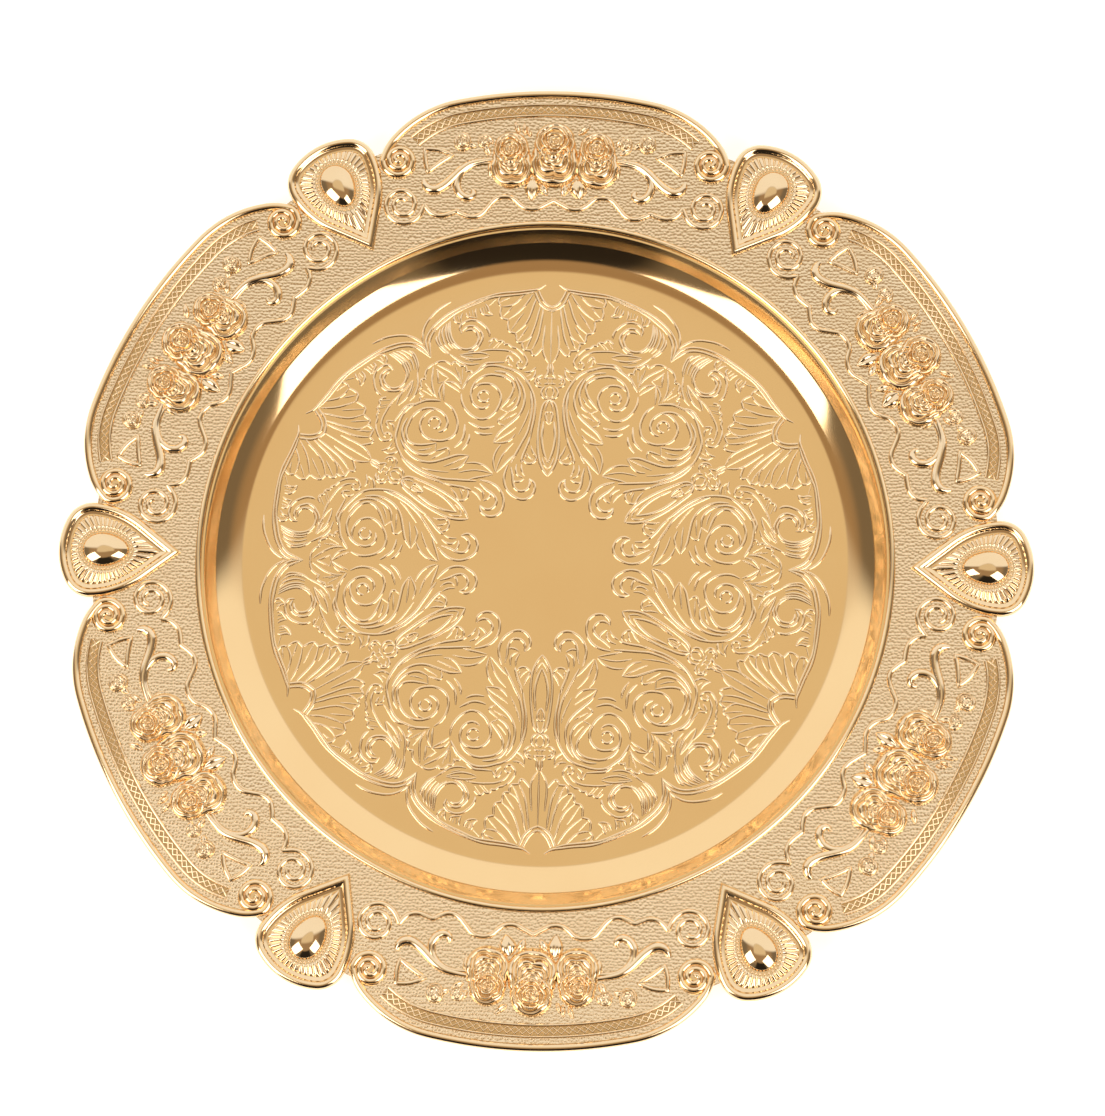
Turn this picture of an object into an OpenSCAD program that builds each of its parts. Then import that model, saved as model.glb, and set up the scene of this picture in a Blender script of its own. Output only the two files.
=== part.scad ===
// Round brass tray with a coved well, six rose-spray lobes and six teardrop medallions.
// Millimetres, +Z up. The origin is the centre of the face that the tray stands on.

/* [Sheet] */
// Distance from the centre to the outermost edge of lobes and medallions
tray_r = 165; // [163:0.5:167]
// Thickness of the brass sheet of the pan and the border
sheet_t = 0.8; // [0.6:0.1:1]

/* [Well] */
// Radius of the mouth of the well
well_r = 117; // [116:0.5:118]
// Radius of the flat floor inside the cove
floor_r = 101; // [98:0.5:102]
// Radius of the crease where the cove meets the steep wall
crease_r = 112.4; // [112:0.2:113.2]
// Height from the floor to the mouth
well_depth = 10; // [9:0.5:12]

/* [Border] */
// Rise of the border from the mouth to its outermost edge
border_rise = 3.4; // [2:0.2:5]
// Radius of the rolled rod along the edge of each lobe
edge_rod_r = 1.4; // [1.2:0.1:1.6]
// Width of the patterned band inside that rod
gallery_w = 3.8; // [3:0.2:4.2]
// Half-width of the raised waved wire
wave_w = 0.8; // [0.6:0.1:1]

/* [Roses] */
// Radius of the middle rose of each spray
rose_r = 8.4; // [8:0.1:9]
// Radius of the two outer roses
side_rose_r = 6.8; // [6.4:0.1:7]

/* [Medallions] */
// Radius of a medallion's broad outer edge
drop_top_r = 24; // [23:0.5:25]
// Radius of a medallion's two rounded shoulders
drop_corner_r = 9.5; // [9:0.1:10]
// Length of the polished stone-shaped boss
boss_length = 15.4; // [15:0.2:16.4]
// Width of the boss
boss_width = 10.8; // [10:0.2:11.4]
// Number of flutes round the boss
flutes = 40; // [32:4:44]

/* [Hidden] */
$fn = 48;
lobes = 6;
lobe_step = 360 / lobes;
ornaments = [
    "edge_rod", "gallery_band", "rose_spray", "stem_scrolls", "waved_wire",
    "triangle_frames", "medallion_frame", "fluted_collar", "boss"
];

mouth_z = sheet_t + well_depth;
seam_w = 7;                       // lap of the pan's flange under the border
mouth_bead_r = 0.9;
bead_gap = 0.1;                   // clearance from the bead to the flange below it
lobe_arc_r = tray_r - 0.6;        // a lobe's long edge runs round the tray's own centre
lobe_arc_reach = 12;              // half the angle of that edge
shoulder_r = 40;                  // the edge then falls away towards the notch
shoulder_reach = 50;
lobe_corner_r = 20;               // and turns more tightly at the notch itself
lobe_corner_reach = 78;
rod_reach = 62;                   // where the rod runs out into the volute
rod_joint = 0.03;                 // hairline gap where two lengths of rod meet, in degrees
web_r = tray_r - 11.5;            // the border's radius in the notches
edge_inset = 2 * edge_rod_r;      // the sheet stops where the rolled rod begins
groove_w = 2.1;
gallery_t = 0.5;
gallery_reach = 43;
volute_at = [tray_r - 111.2, tray_r - 26.3];
volute_r = 5.3;
drop_side_r = 30;                 // radius of a medallion's gently bowed sides
drop_top_from = 62;               // directions in which the outline's arcs meet
drop_side_from = -3;
drop_tip_from = -38;
frame_rod_r = 1.5;
frame_t = 0.8;
collar_t = 1.0;
boss_y = tray_r - 16;

// The border's top surface is a shallow cone, and its height depends on the radius alone.
border_slope = border_rise / (tray_r - well_r);
function border_z(r) = mouth_z + border_slope * (r - well_r);
function seat_z(p) = border_z(norm([p[0], p[1]]));
function arc(centre, r, from, to, steps) =
    [for (i = [0:steps]) let (a = from + (to - from) * i / steps) centre + r * [cos(a), sin(a)]];
// The same without its last point, for joining arcs end to end.
function open_arc(centre, r, from, to, steps) =
    [for (i = [0:steps - 1]) let (a = from + (to - from) * i / steps)
        centre + r * [cos(a), sin(a)]];
function reversed(points) = [for (i = [len(points) - 1:-1:0]) points[i]];
function mirrored(points) = [for (p = points) [-p[0], p[1]]];

// ---------- shared shapes ----------

// Everything under the border's top surface, for cutting flat seats on the ornaments.
module under_border() {
    inner = well_r - 20;
    outer = tray_r + 20;
    rotate_extrude($fn = 96)
        polygon([
            [inner, -tray_r], [outer, -tray_r],
            [outer, border_z(outer)], [inner, border_z(inner)]
        ]);
}

module seated() {
    difference() {
        children();
        under_border();
    }
}

module at_lobe(i) {
    rotate([0, 0, lobe_step * (i - 1)]) children();
}

// Medallions stand half a step round from the lobes.
module at_medallion(i) {
    rotate([0, 0, lobe_step * (i - 1) + lobe_step / 2]) children();
}

module both_sides() {
    children();
    mirror([1, 0, 0]) children();
}

module bent_rod(centre, r, from, to, rod_r, z) {
    translate([centre[0], centre[1], z]) rotate([0, 0, from])
        rotate_extrude(angle = to - from, $fn = 96) translate([r, 0]) circle(rod_r);
}

// A half-round wire that lies along a path on the border, its flat side down.
// Each path entry is [x, y, half width].
module half_round_wire(path, height_share) {
    last = len(path) - 1;
    sides = 4;
    ring = sides + 1;
    function heading(i) =
        let (a = path[max(i - 1, 0)], b = path[min(i + 1, last)], d = [b[0] - a[0], b[1] - a[1]])
        d / norm(d);
    points = [
        for (i = [0:last]) for (k = [0:sides])
            let (
                p = path[i],
                t = heading(i),
                a = 180 * k / sides,
                side = p[2] * cos(a)
            )
            [p[0] + t[1] * side, p[1] - t[0] * side, seat_z(p) + p[2] * height_share * sin(a)]
    ];
    skin = [
        for (i = [0:last - 1]) for (k = [0:sides])
            let (a = i * ring + k, b = i * ring + (k + 1) % ring)
            each [[a, b, b + ring], [a, b + ring, a + ring]]
    ];
    near_cap = [[for (k = [sides:-1:0]) k]];
    far_cap = [[for (k = [0:sides]) last * ring + k]];
    polyhedron(points, concat(skin, near_cap, far_cap), convexity = 6);
}

// ---------- outlines ----------

// The point at a distance r from the tray's centre, in a direction a that is measured from +Y.
function off_axis(r, a) = r * [sin(a), cos(a)];

shoulder_at = off_axis(lobe_arc_r - shoulder_r, lobe_arc_reach);
lobe_corner_at = shoulder_at + off_axis(shoulder_r - lobe_corner_r, shoulder_reach);

// The right half of a lobe's edge, from the notch up to its middle.
function lobe_half(inset, reach) = concat(
    reach > shoulder_reach
        ? open_arc(lobe_corner_at, lobe_corner_r - inset, 90 - reach, 90 - shoulder_reach, 6)
        : [],
    open_arc(shoulder_at, shoulder_r - inset, 90 - min(reach, shoulder_reach),
             90 - lobe_arc_reach, 8),
    open_arc([0, 0], lobe_arc_r - inset, 90 - lobe_arc_reach, 90, 8)
);
function lobe_edge(inset, reach) =
    let (half = lobe_half(inset, reach))
    concat(half, [[0, lobe_arc_r - inset]], reversed(mirrored(half)));

drop_top_at = [0, tray_r - drop_top_r];
drop_corner_at =
    drop_top_at + (drop_top_r - drop_corner_r) * [cos(drop_top_from), sin(drop_top_from)];
drop_side_at =
    drop_corner_at - (drop_side_r - drop_corner_r) * [cos(drop_side_from), sin(drop_side_from)];
drop_facing = [cos(drop_tip_from), sin(drop_tip_from)];

// The straight flanks meet on the axis.
function drop_tip(inset) =
    [0, (drop_side_at * drop_facing + drop_side_r - inset) / drop_facing[1]];
function drop_half(inset) = concat(
    open_arc(drop_side_at, drop_side_r - inset, drop_tip_from, drop_side_from, 8),
    open_arc(drop_corner_at, drop_corner_r - inset, drop_side_from, drop_top_from, 10),
    open_arc(drop_top_at, drop_top_r - inset, drop_top_from, 90, 8)
);
function drop_outline(inset) =
    let (half = drop_half(inset))
    concat([drop_tip(inset)], half, [[0, tray_r - inset]], reversed(mirrored(half)));

function boss_reach(a) =
    let (l = boss_length / 2, w = boss_width / 2)
    l * w / sqrt(pow(l * cos(a), 2) + pow(w * sin(a), 2));

// ---------- pan and border ----------

// The cove is one arc, tangent to the floor. A straight wall rises from its far end to the
// flange that laps under the border.
cove_angle = 45;
cove_r = (crease_r - floor_r) / sin(cove_angle);
cove_centre = [floor_r, sheet_t + cove_r];
wall_foot = cove_centre + cove_r * [sin(cove_angle), -cos(cove_angle)];
wall_top = [well_r - 1, mouth_z - sheet_t];
wall_angle = atan2(wall_top[1] - wall_foot[1], wall_top[0] - wall_foot[0]);
flange_r = well_r + seam_w;

module pan() {
    profile = concat(
        [[0, 0], [0, sheet_t]],
        arc(cove_centre, cove_r, -90, cove_angle - 90, 16),
        [
            wall_top,
            [flange_r, border_z(flange_r) - sheet_t],
            [flange_r, border_z(flange_r) - 2 * sheet_t],
            [wall_top[0] + sheet_t * tan(wall_angle / 2), wall_top[1] - sheet_t]
        ],
        arc(cove_centre, cove_r + sheet_t, cove_angle - 90, -90, 16)
    );
    color("darkgoldenrod") rotate_extrude($fn = 96) polygon(profile);
}

module border_outline() {
    circle(web_r, $fn = 96);
    for (i = [1:lobes]) {
        at_lobe(i) polygon(concat([[0, web_r - 20]], lobe_edge(edge_inset, lobe_corner_reach)));
        at_medallion(i) polygon(drop_outline(frame_rod_r));
    }
}

module border() {
    color("burlywood") {
        intersection() {
            linear_extrude(height = mouth_z + 20) border_outline();
            rotate_extrude($fn = 96)
                polygon([
                    [well_r, border_z(well_r) - sheet_t],
                    [tray_r, border_z(tray_r) - sheet_t],
                    [tray_r, border_z(tray_r)],
                    [well_r, border_z(well_r)]
                ]);
        }
        translate([0, 0, mouth_z - sheet_t + bead_gap + mouth_bead_r])
            rotate_extrude($fn = 96) translate([well_r + mouth_bead_r, 0]) circle(mouth_bead_r);
    }
}

// ---------- pieces of a lobe ----------

// A snail-shell boss: rings that climb towards the middle.
module volute(at, r, height) {
    rings = 3;
    pitch = r / (rings - 0.5);
    translate([at[0], at[1], seat_z(at) - 0.6])
        rotate_extrude() {
            intersection() {
                for (k = [0:rings - 1])
                    translate([k * pitch, height - pitch / 2 - height * 0.2 * k]) circle(pitch / 2);
                square([r, height]);
            }
            square([r - pitch / 2, height * 0.45]);
        }
}

module edge_rod() {
    rod_z = border_z(tray_r - 4) - sheet_t / 2;
    color("goldenrod") {
        bent_rod([0, 0], lobe_arc_r - edge_rod_r, 90 - lobe_arc_reach, 90 + lobe_arc_reach,
                 edge_rod_r, rod_z);
        both_sides() {
            bent_rod(shoulder_at, shoulder_r - edge_rod_r, 90 - shoulder_reach + rod_joint,
                     90 - lobe_arc_reach - rod_joint, edge_rod_r, rod_z);
            bent_rod(lobe_corner_at, lobe_corner_r - edge_rod_r, 90 - rod_reach,
                     90 - shoulder_reach, edge_rod_r, rod_z);
            seated() volute(volute_at, volute_r, 2.8);
        }
    }
}

module gallery_band() {
    outer = 2 * edge_rod_r + groove_w;
    color("khaki")
        seated()
            translate([0, 0, border_z(tray_r - 18) - 1])
                linear_extrude(height = border_rise / 2 + gallery_t)
                    polygon(concat(
                        lobe_edge(outer, gallery_reach),
                        reversed(lobe_edge(outer + gallery_w, gallery_reach))
                    ));
}

// A cabbage rose: a rounded bowl of outer petals with a ringed heart set towards the edge.
module rose(at, r) {
    bowl_r = r * 1.25;
    bowl_sink = sqrt(pow(bowl_r, 2) - pow(r, 2));
    heart = [at[0], at[1] + r * 0.42];
    translate([at[0], at[1], seat_z(at) - bowl_sink]) sphere(bowl_r, $fn = 64);
    translate([heart[0], heart[1], seat_z(heart)])
        for (k = [0:2])
            cylinder(h = r * (0.42 + 0.07 * k), r1 = r * (0.78 - 0.2 * k), r2 = r * (0.66 - 0.2 * k));
}

// A pointed leaf: the lens where two circles meet.
module leaf(at, length, width, turn, height) {
    side_r = (pow(length, 2) + pow(width, 2)) / (4 * width);
    translate([at[0], at[1], seat_z(at) - 1]) rotate([0, 0, turn])
        linear_extrude(height = 1 + height)
            intersection() {
                translate([side_r - width / 2, 0]) circle(side_r, $fn = 96);
                translate([width / 2 - side_r, 0]) circle(side_r, $fn = 96);
            }
}

module bud(at, r) {
    translate([at[0], at[1], seat_z(at) - r * 0.3]) sphere(r, $fn = 32);
}

module rose_spray() {
    mid_y = tray_r - 24;
    color("gold")
        seated() {
            rose([0, mid_y], rose_r);
            both_sides() {
                rose([14, mid_y - 1.2], side_rose_r);
                leaf([7.6, mid_y - 11.4], 9, 5, 28, 1.6);
                leaf([9.4, mid_y + 8.6], 6, 3, -40, 1.2);
                leaf([24, mid_y + 4.6], 6, 2.6, 70, 1.1);
                bud([29, mid_y + 5.2], 1.6);
                bud([32.6, mid_y + 5.2], 2.2);
            }
        }
}

// Where the two strands of a stem run, from the roses outwards, with their half widths.
stem_long = [
    [21.8, 0, 0.7], [25, 0.1, 1.0], [28.5, -1.0, 1.2], [31.6, -3.2, 1.4], [34.6, -6.2, 1.5],
    [37.4, -9.0, 1.5], [39.8, -10.7, 1.5], [42, -10.7, 1.3], [43.9, -9.2, 0.9]
];
stem_hook = [
    [22.2, -1.9, 0.5], [25.6, -2.0, 0.8], [29.2, -3.2, 1.0], [32, -5.6, 1.2], [33.5, -9, 1.3],
    [33.1, -12.2, 1.3], [31, -14.0, 1.3], [28.8, -13.6, 1.1], [27.6, -12.1, 0.8]
];
stem_y = tray_r - 24.2;

module stem_scrolls() {
    color("goldenrod")
        for (side = [-1, 1]) for (strand = [stem_long, stem_hook])
            half_round_wire([
                for (i = [0:len(strand) - 1])
                    let (p = strand[side > 0 ? i : len(strand) - 1 - i])
                    [side * p[0], stem_y + p[1], p[2]]
            ], 1.1);
}

// Half of the waved wire, from its middle cusp to the scroll that closes it.
wave_route = [
    [0, 6.1], [2.2, 4.6], [4.6, 3.4], [8, 3.0], [11.2, 3.8], [14.4, 6.2], [17.2, 7.4], [20, 6.2],
    [23, 3.0], [25.6, 0.6], [28, -0.3], [30.6, 0.4], [33, 1.8], [35.8, 0.4], [39, 0.0],
    [41.8, 1.2], [44.4, 3.6]
];
wave_y = tray_r - 45;
wave_scroll_at = [51.2, tray_r - 40.5];

// A spiral that starts at the cusp beside the medallion and winds inwards.
function wave_scroll() = [
    for (i = [1:20])
        let (a = 205 + 27 * i, r = 7.1 - 0.245 * i)
        wave_scroll_at + r * [cos(a), sin(a)]
];

module waved_wire() {
    half = concat([for (p = wave_route) [p[0], wave_y + p[1]]], wave_scroll());
    other = [for (i = [len(half) - 1:-1:1]) [-half[i][0], half[i][1]]];
    color("goldenrod")
        half_round_wire([for (p = concat(other, half)) [p[0], p[1], wave_w]], 0.8);
}

module triangle_frames() {
    at_y = tray_r - 24.4;
    corners = [[44.6, 3], [34.6, 0.3], [43.8, -5.2]];
    middle = [41, -0.6];
    shrink = 0.56;
    color("goldenrod")
        seated()
            both_sides()
                translate([0, at_y, border_z(tray_r - 20) - 2])
                    linear_extrude(height = 2.9)
                        difference() {
                            polygon(corners);
                            polygon([for (p = corners) middle + (p - middle) * shrink]);
                        }
}

// ---------- pieces of a medallion ----------

// A medallion lies on the border's slope, so its pieces are tilted about the seat's middle.
module on_seat() {
    translate([0, boss_y, border_z(boss_y) + 0.1]) rotate([atan(border_slope), 0, 0])
        translate([0, -boss_y, 0]) children();
}

// A ring along the outline, between two insets.
module drop_ring(outer, inner, height) {
    linear_extrude(height = height)
        difference() {
            polygon(drop_outline(outer));
            polygon(drop_outline(inner));
        }
}

// The floor plate and the raised rim round it, stepped up to its crown.
module medallion_frame() {
    rim_w = 2 * frame_rod_r;
    step_w = rim_w / 6;
    color("gold") on_seat() {
        linear_extrude(height = frame_t) polygon(drop_outline(0));
        drop_ring(step_w, rim_w, frame_t + frame_rod_r * 0.7);
        drop_ring(2 * step_w, rim_w - step_w, frame_t + frame_rod_r);
    }
}

module fluted_collar() {
    frame_inset = 2 * frame_rod_r + 1.6;
    pearl_gap = 1.5;
    flute_r = 0.62;
    flute_length = 5.2;
    head_room = tray_r - frame_inset - boss_y - 0.5;
    color("khaki") on_seat() translate([0, 0, frame_t])
        difference() {
            union() {
                linear_extrude(height = collar_t) polygon(drop_outline(frame_inset));
                translate([0, boss_y, collar_t])
                    for (i = [0:flutes - 1]) {
                        a = 360 * i / flutes;
                        start = boss_reach(a) + pearl_gap;
                        stop = min(start + flute_length, head_room / max(sin(a), 0.5));
                        rotate([0, 0, a]) translate([start, 0, 0]) rotate([0, 90, 0])
                            cylinder(h = stop - start, r = flute_r, $fn = 16);
                    }
            }
            translate([0, boss_y, -1]) boss_prism(collar_t + 4, 0.1);
        }
}

// The boss's oval outline, as the circle of its width stretched along the radius.
module boss_prism(height, gap) {
    scale([(boss_width / 2 + gap) / (boss_length / 2 + gap), 1, 1])
        cylinder(h = height, r = boss_length / 2 + gap, $fn = 64);
}

module boss() {
    boss_h = 4.4;
    color("gold") on_seat() translate([0, boss_y, frame_t])
        intersection() {
            scale([boss_width / boss_length, 1, 2 * boss_h / boss_length])
                sphere(boss_length / 2, $fn = 64);
            translate([0, 0, boss_length / 2]) cube(boss_length, center = true);
        }
}

// ---------- nodes ----------

pan();
border();
for (i = [1:lobes]) {
    at_lobe(i) edge_rod();
    at_lobe(i) gallery_band();
    at_lobe(i) rose_spray();
    at_lobe(i) stem_scrolls();
    at_lobe(i) waved_wire();
    at_lobe(i) triangle_frames();
    at_medallion(i) medallion_frame();
    at_medallion(i) fluted_collar();
    at_medallion(i) boss();
}
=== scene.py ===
"""Surface detail, finishes and studio set for a round brass tray with an ornamented border.

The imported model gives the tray's size and where its pieces lie. Everything here is drawn in
millimetres about the tray's centre and turned to metres as it is made. An ornament is modelled
once, on the lobe or medallion that points along +Y, and then copied round the tray.
"""
import logging
import math
from collections.abc import Callable, Sequence
from dataclasses import dataclass
from enum import Enum
from typing import Any

import bpy
from mathutils import Matrix, Vector


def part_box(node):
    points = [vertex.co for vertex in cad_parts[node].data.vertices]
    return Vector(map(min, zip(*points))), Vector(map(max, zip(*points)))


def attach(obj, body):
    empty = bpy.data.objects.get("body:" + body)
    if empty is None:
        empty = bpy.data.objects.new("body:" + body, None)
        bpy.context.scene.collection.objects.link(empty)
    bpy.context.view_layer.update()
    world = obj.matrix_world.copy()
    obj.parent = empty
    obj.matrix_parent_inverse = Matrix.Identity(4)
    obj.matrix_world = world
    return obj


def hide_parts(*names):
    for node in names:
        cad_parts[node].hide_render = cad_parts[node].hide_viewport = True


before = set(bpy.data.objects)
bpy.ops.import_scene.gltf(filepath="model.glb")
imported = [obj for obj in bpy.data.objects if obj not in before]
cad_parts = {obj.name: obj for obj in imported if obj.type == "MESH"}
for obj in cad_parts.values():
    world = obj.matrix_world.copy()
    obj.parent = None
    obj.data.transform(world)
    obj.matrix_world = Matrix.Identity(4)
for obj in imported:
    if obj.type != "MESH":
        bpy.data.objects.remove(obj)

MM = 0.001
LOBES = 6
LOBE_STEP = math.tau / LOBES
BODY = "root"
WELD = 0.002 * MM               # points nearer than this are one

log = logging.getLogger("tray")

Place = tuple[float, float]
Stroke = list[tuple[float, ...]]


# ---------------------------------------------------------------- finishes


def linear_rgba(hex_colour: str) -> tuple[float, float, float, float]:
    """Turns an sRGB hex colour into linear RGBA.

    Args:
        hex_colour: six hex digits after a hash sign.

    Returns:
        The linear red, green, blue and an alpha of 1.
    """
    parts = [int(hex_colour[i:i + 2], 16) / 255 for i in (1, 3, 5)]
    linear = [p / 12.92 if p <= 0.04045 else ((p + 0.055) / 1.055) ** 2.4 for p in parts]
    return (*linear, 1.0)


def add_node(tree: bpy.types.NodeTree, kind: str, settings: dict[str, Any] | None = None,
             inputs: dict[str | int, Any] | None = None) -> bpy.types.Node:
    """Adds one shader node with its settings, values and links.

    Args:
        tree: the node tree that takes it.
        kind: the node's type name.
        settings: the node's own attributes.
        inputs: a value, or another node's output to link, for each named input.

    Returns:
        The new node.
    """
    node = tree.nodes.new(kind)
    for name, value in (settings or {}).items():
        setattr(node, name, value)
    for socket, value in (inputs or {}).items():
        if isinstance(value, bpy.types.NodeSocket):
            tree.links.new(value, node.inputs[socket])
        else:
            node.inputs[socket].default_value = value
    return node


@dataclass(frozen=True)
class Brass:
    """A brass surface: its tint, its polish, and the marks of the way it was made."""

    name: str
    tint: str
    shade: str                  # tint in the duller patches
    roughness: float
    patch_mm: float             # size of the duller patches
    grain_mm: float = 0.0       # pitch of a struck ground
    grain_depth_mm: float = 0.0
    ripple_mm: float = 0.0      # wavelength of the waviness left by the press
    ripple_depth_mm: float = 0.0

    def material(self) -> bpy.types.Material:
        """Builds the finish as a node material.

        Returns:
            The material.
        """
        made = bpy.data.materials.new(self.name)
        made.use_nodes = True
        tree = made.node_tree
        tree.nodes.clear()
        place = add_node(tree, "ShaderNodeTexCoord").outputs["Object"]
        patches = add_node(tree, "ShaderNodeTexNoise", inputs={
            "Vector": place, "Scale": 1 / (self.patch_mm * MM), "Detail": 3.0})
        tint = add_node(tree, "ShaderNodeMix", {"data_type": "RGBA"}, {
            "Factor": patches.outputs["Fac"], 6: linear_rgba(self.tint),
            7: linear_rgba(self.shade)})
        polish = add_node(tree, "ShaderNodeMapRange", inputs={
            "Value": patches.outputs["Fac"], "To Min": self.roughness * 0.8,
            "To Max": self.roughness * 1.2})
        inputs = {"Base Color": tint.outputs[2], "Metallic": 1.0,
                  "Roughness": polish.outputs["Result"]}
        normal = self.struck_normal(tree, place)
        if normal:
            inputs["Normal"] = normal
        shader = add_node(tree, "ShaderNodeBsdfPrincipled", inputs=inputs)
        add_node(tree, "ShaderNodeOutputMaterial", inputs={"Surface": shader.outputs["BSDF"]})
        return made

    def struck_normal(self, tree: bpy.types.NodeTree,
                      place: bpy.types.NodeSocket) -> bpy.types.NodeSocket | None:
        """Adds the grain and the ripple to the surface normal.

        Args:
            tree: the material's node tree.
            place: the position that both patterns follow.

        Returns:
            The normal's socket, or None on a plain finish.
        """
        normal = None
        if self.grain_mm:
            cells = add_node(tree, "ShaderNodeTexVoronoi",
                             {"voronoi_dimensions": "2D", "feature": "SMOOTH_F1"},
                             {"Vector": place, "Scale": 1 / (self.grain_mm * MM),
                              "Smoothness": 0.2, "Randomness": 0.65})
            domes = add_node(tree, "ShaderNodeMath", {"operation": "MULTIPLY"},
                             {0: cells.outputs["Distance"], 1: -1.0})
            normal = add_node(tree, "ShaderNodeBump", inputs={
                "Height": domes.outputs["Value"], "Distance": self.grain_depth_mm * MM,
                "Strength": 1.0}).outputs["Normal"]
        if self.ripple_mm:
            waves = add_node(tree, "ShaderNodeTexNoise", inputs={
                "Vector": place, "Scale": 1 / (self.ripple_mm * MM), "Detail": 1.0})
            inputs = {"Height": waves.outputs["Fac"], "Distance": self.ripple_depth_mm * MM,
                      "Strength": 1.0}
            if normal:
                inputs["Normal"] = normal
            normal = add_node(tree, "ShaderNodeBump", inputs=inputs).outputs["Normal"]
        return normal


# Spun and buffed sheet: a near mirror whose reflections waver a little.
POLISHED = Brass("buffed_sheet_brass", "#FCD9A2", "#F8D198", 0.09, 30, ripple_mm=45,
                 ripple_depth_mm=0.08)
# Fine raised lines struck in the same sheet, tinted a touch paler as a painted highlight on the
# lines.
CHASED_HIGHLIGHT = Brass("struck_line_highlight_brass", "#FBE2BC", "#F6D6A8", 0.14, 8)
# Sheet struck all over with a pebbled punch, which scatters the light into a pale sparkle.
PEBBLED = Brass("pebble_struck_brass", "#F8E0BA", "#F0D2A6", 0.25, 18, grain_mm=1.1,
                grain_depth_mm=0.21)
# Stamped ornament with soft, rounded forms and a satin gloss.
STAMPED = Brass("stamped_satin_brass", "#FAE2BE", "#F2D2A4", 0.12, 4, ripple_mm=3,
                ripple_depth_mm=0.03)
# The struck floor under the crossed pattern: rougher, with its tint darkened as painted shade
# between the lines.
PAINTED_SHADE_RECESS = Brass("recess_painted_shade_brass", "#D8B784", "#C9A46F", 0.34, 6)
# Rolled rod and domed bosses, buffed bright.
BRIGHT = Brass("bright_rolled_brass", "#FADEB4", "#F4D3A2", 0.08, 10)


# ---------------------------------------------------------------- the seat of every ornament


@dataclass(frozen=True)
class Tray:
    """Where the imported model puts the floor, the mouth and the border's sloping top."""

    mouth_r: float
    floor_z: float
    mouth_z: float
    slope: float
    sheet: float = 0.8
    lap: float = 7.0            # how far the pan's flange reaches under the border

    @classmethod
    def from_frame(cls) -> "Tray":
        """Reads the tray's main sizes from the CAD nodes' boxes, in millimetres.

        Returns:
            The sizes.
        """
        sheet = cls.sheet
        pan_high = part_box("pan")[1] / MM
        border_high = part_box("border")[1] / MM
        lap_z = pan_high.z + sheet
        slope = (border_high.z - lap_z) / (border_high.x - pan_high.x)
        mouth_r = pan_high.x - cls.lap
        return cls(mouth_r, sheet, lap_z - slope * (pan_high.x - mouth_r), slope)

    def border_z(self, x: float, y: float) -> float:
        """Height of the border's top surface over a point."""
        return self.mouth_z + self.slope * (math.hypot(x, y) - self.mouth_r)


class Ground(Enum):
    """What an ornament lies on."""

    FLOOR = "floor"
    BORDER = "border"


def ground_z(tray: Tray, ground: Ground, x: float, y: float) -> float:
    """Height in millimetres of the surface that an ornament lies on."""
    return tray.floor_z if ground is Ground.FLOOR else tray.border_z(x, y)


# ---------------------------------------------------------------- making meshes


def deselect() -> None:
    """Leaves nothing selected, so that the next operator acts on its own object alone."""
    if bpy.context.object and bpy.context.object.mode != "OBJECT":
        bpy.ops.object.mode_set(mode="OBJECT")
    bpy.ops.object.select_all(action="DESELECT")


def make_active(thing: bpy.types.Object) -> None:
    """Selects one object alone and makes it active.

    Args:
        thing: the object.
    """
    deselect()
    thing.select_set(True)
    bpy.context.view_layer.objects.active = thing


def join(name: str, parts: Sequence[bpy.types.Object]) -> bpy.types.Object:
    """Joins several objects into one.

    Args:
        name: the joined object's name.
        parts: the objects; the first one takes the rest.

    Returns:
        The joined object.
    """
    make_active(parts[0])
    for part in parts:
        part.select_set(True)
    if len(parts) > 1:
        bpy.ops.object.join()
    parts[0].name = name
    return parts[0]


def turned_copy(master: bpy.types.Object, name: str, move: Matrix) -> bpy.types.Object:
    """Copies an object with a mesh of its own and moves that mesh.

    Args:
        master: the object.
        name: the copy's name.
        move: the move or turn.

    Returns:
        The copy.
    """
    copy = bpy.data.objects.new(name, master.data.copy())
    bpy.context.scene.collection.objects.link(copy)
    copy.data.transform(move)
    return copy


def weld_active() -> None:
    """Merges the active mesh's doubled points and turns its faces outwards."""
    bpy.ops.object.mode_set(mode="EDIT")
    bpy.ops.mesh.select_all(action="SELECT")
    bpy.ops.mesh.remove_doubles(threshold=WELD)
    bpy.ops.mesh.normals_make_consistent(inside=False)
    bpy.ops.object.mode_set(mode="OBJECT")


def smooth_active(degrees: float) -> None:
    """Shades the active mesh smooth, except where faces meet at more than an angle."""
    bpy.ops.object.shade_smooth_by_angle(angle=math.radians(degrees))


def apply_modifier(thing: bpy.types.Object, kind: str, **settings: Any) -> None:
    """Adds a modifier, sets it up and applies it.

    Args:
        thing: the object.
        kind: the modifier's type.
        settings: the modifier's own attributes.
    """
    make_active(thing)
    modifier = thing.modifiers.new(kind.title(), kind)
    for name, value in settings.items():
        setattr(modifier, name, value)
    bpy.ops.object.modifier_apply(modifier=modifier.name)


def mapped_grid(name: str, columns: int, rows: int,
                place: Callable[[float, float], tuple[float, float, float]]) -> bpy.types.Object:
    """Lays a flat grid over a surface that a formula gives.

    Args:
        name: the object's name.
        columns: faces along u.
        rows: faces along v.
        place: turns u and v, each from 0 to 1, into a point in millimetres.

    Returns:
        The shaped grid, with its seams and poles closed.
    """
    deselect()
    bpy.ops.mesh.primitive_grid_add(x_subdivisions=columns, y_subdivisions=rows, size=1)
    grid = bpy.context.object
    grid.name = name
    for vertex in grid.data.vertices:
        vertex.co = Vector(place(vertex.co.x + 0.5, vertex.co.y + 0.5)) * MM
    weld_active()
    if sum(p.normal.z * p.area for p in grid.data.polygons) < 0:
        bpy.ops.object.mode_set(mode="EDIT")
        bpy.ops.mesh.flip_normals()
        bpy.ops.object.mode_set(mode="OBJECT")
    bpy.ops.object.shade_smooth()
    return grid


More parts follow.
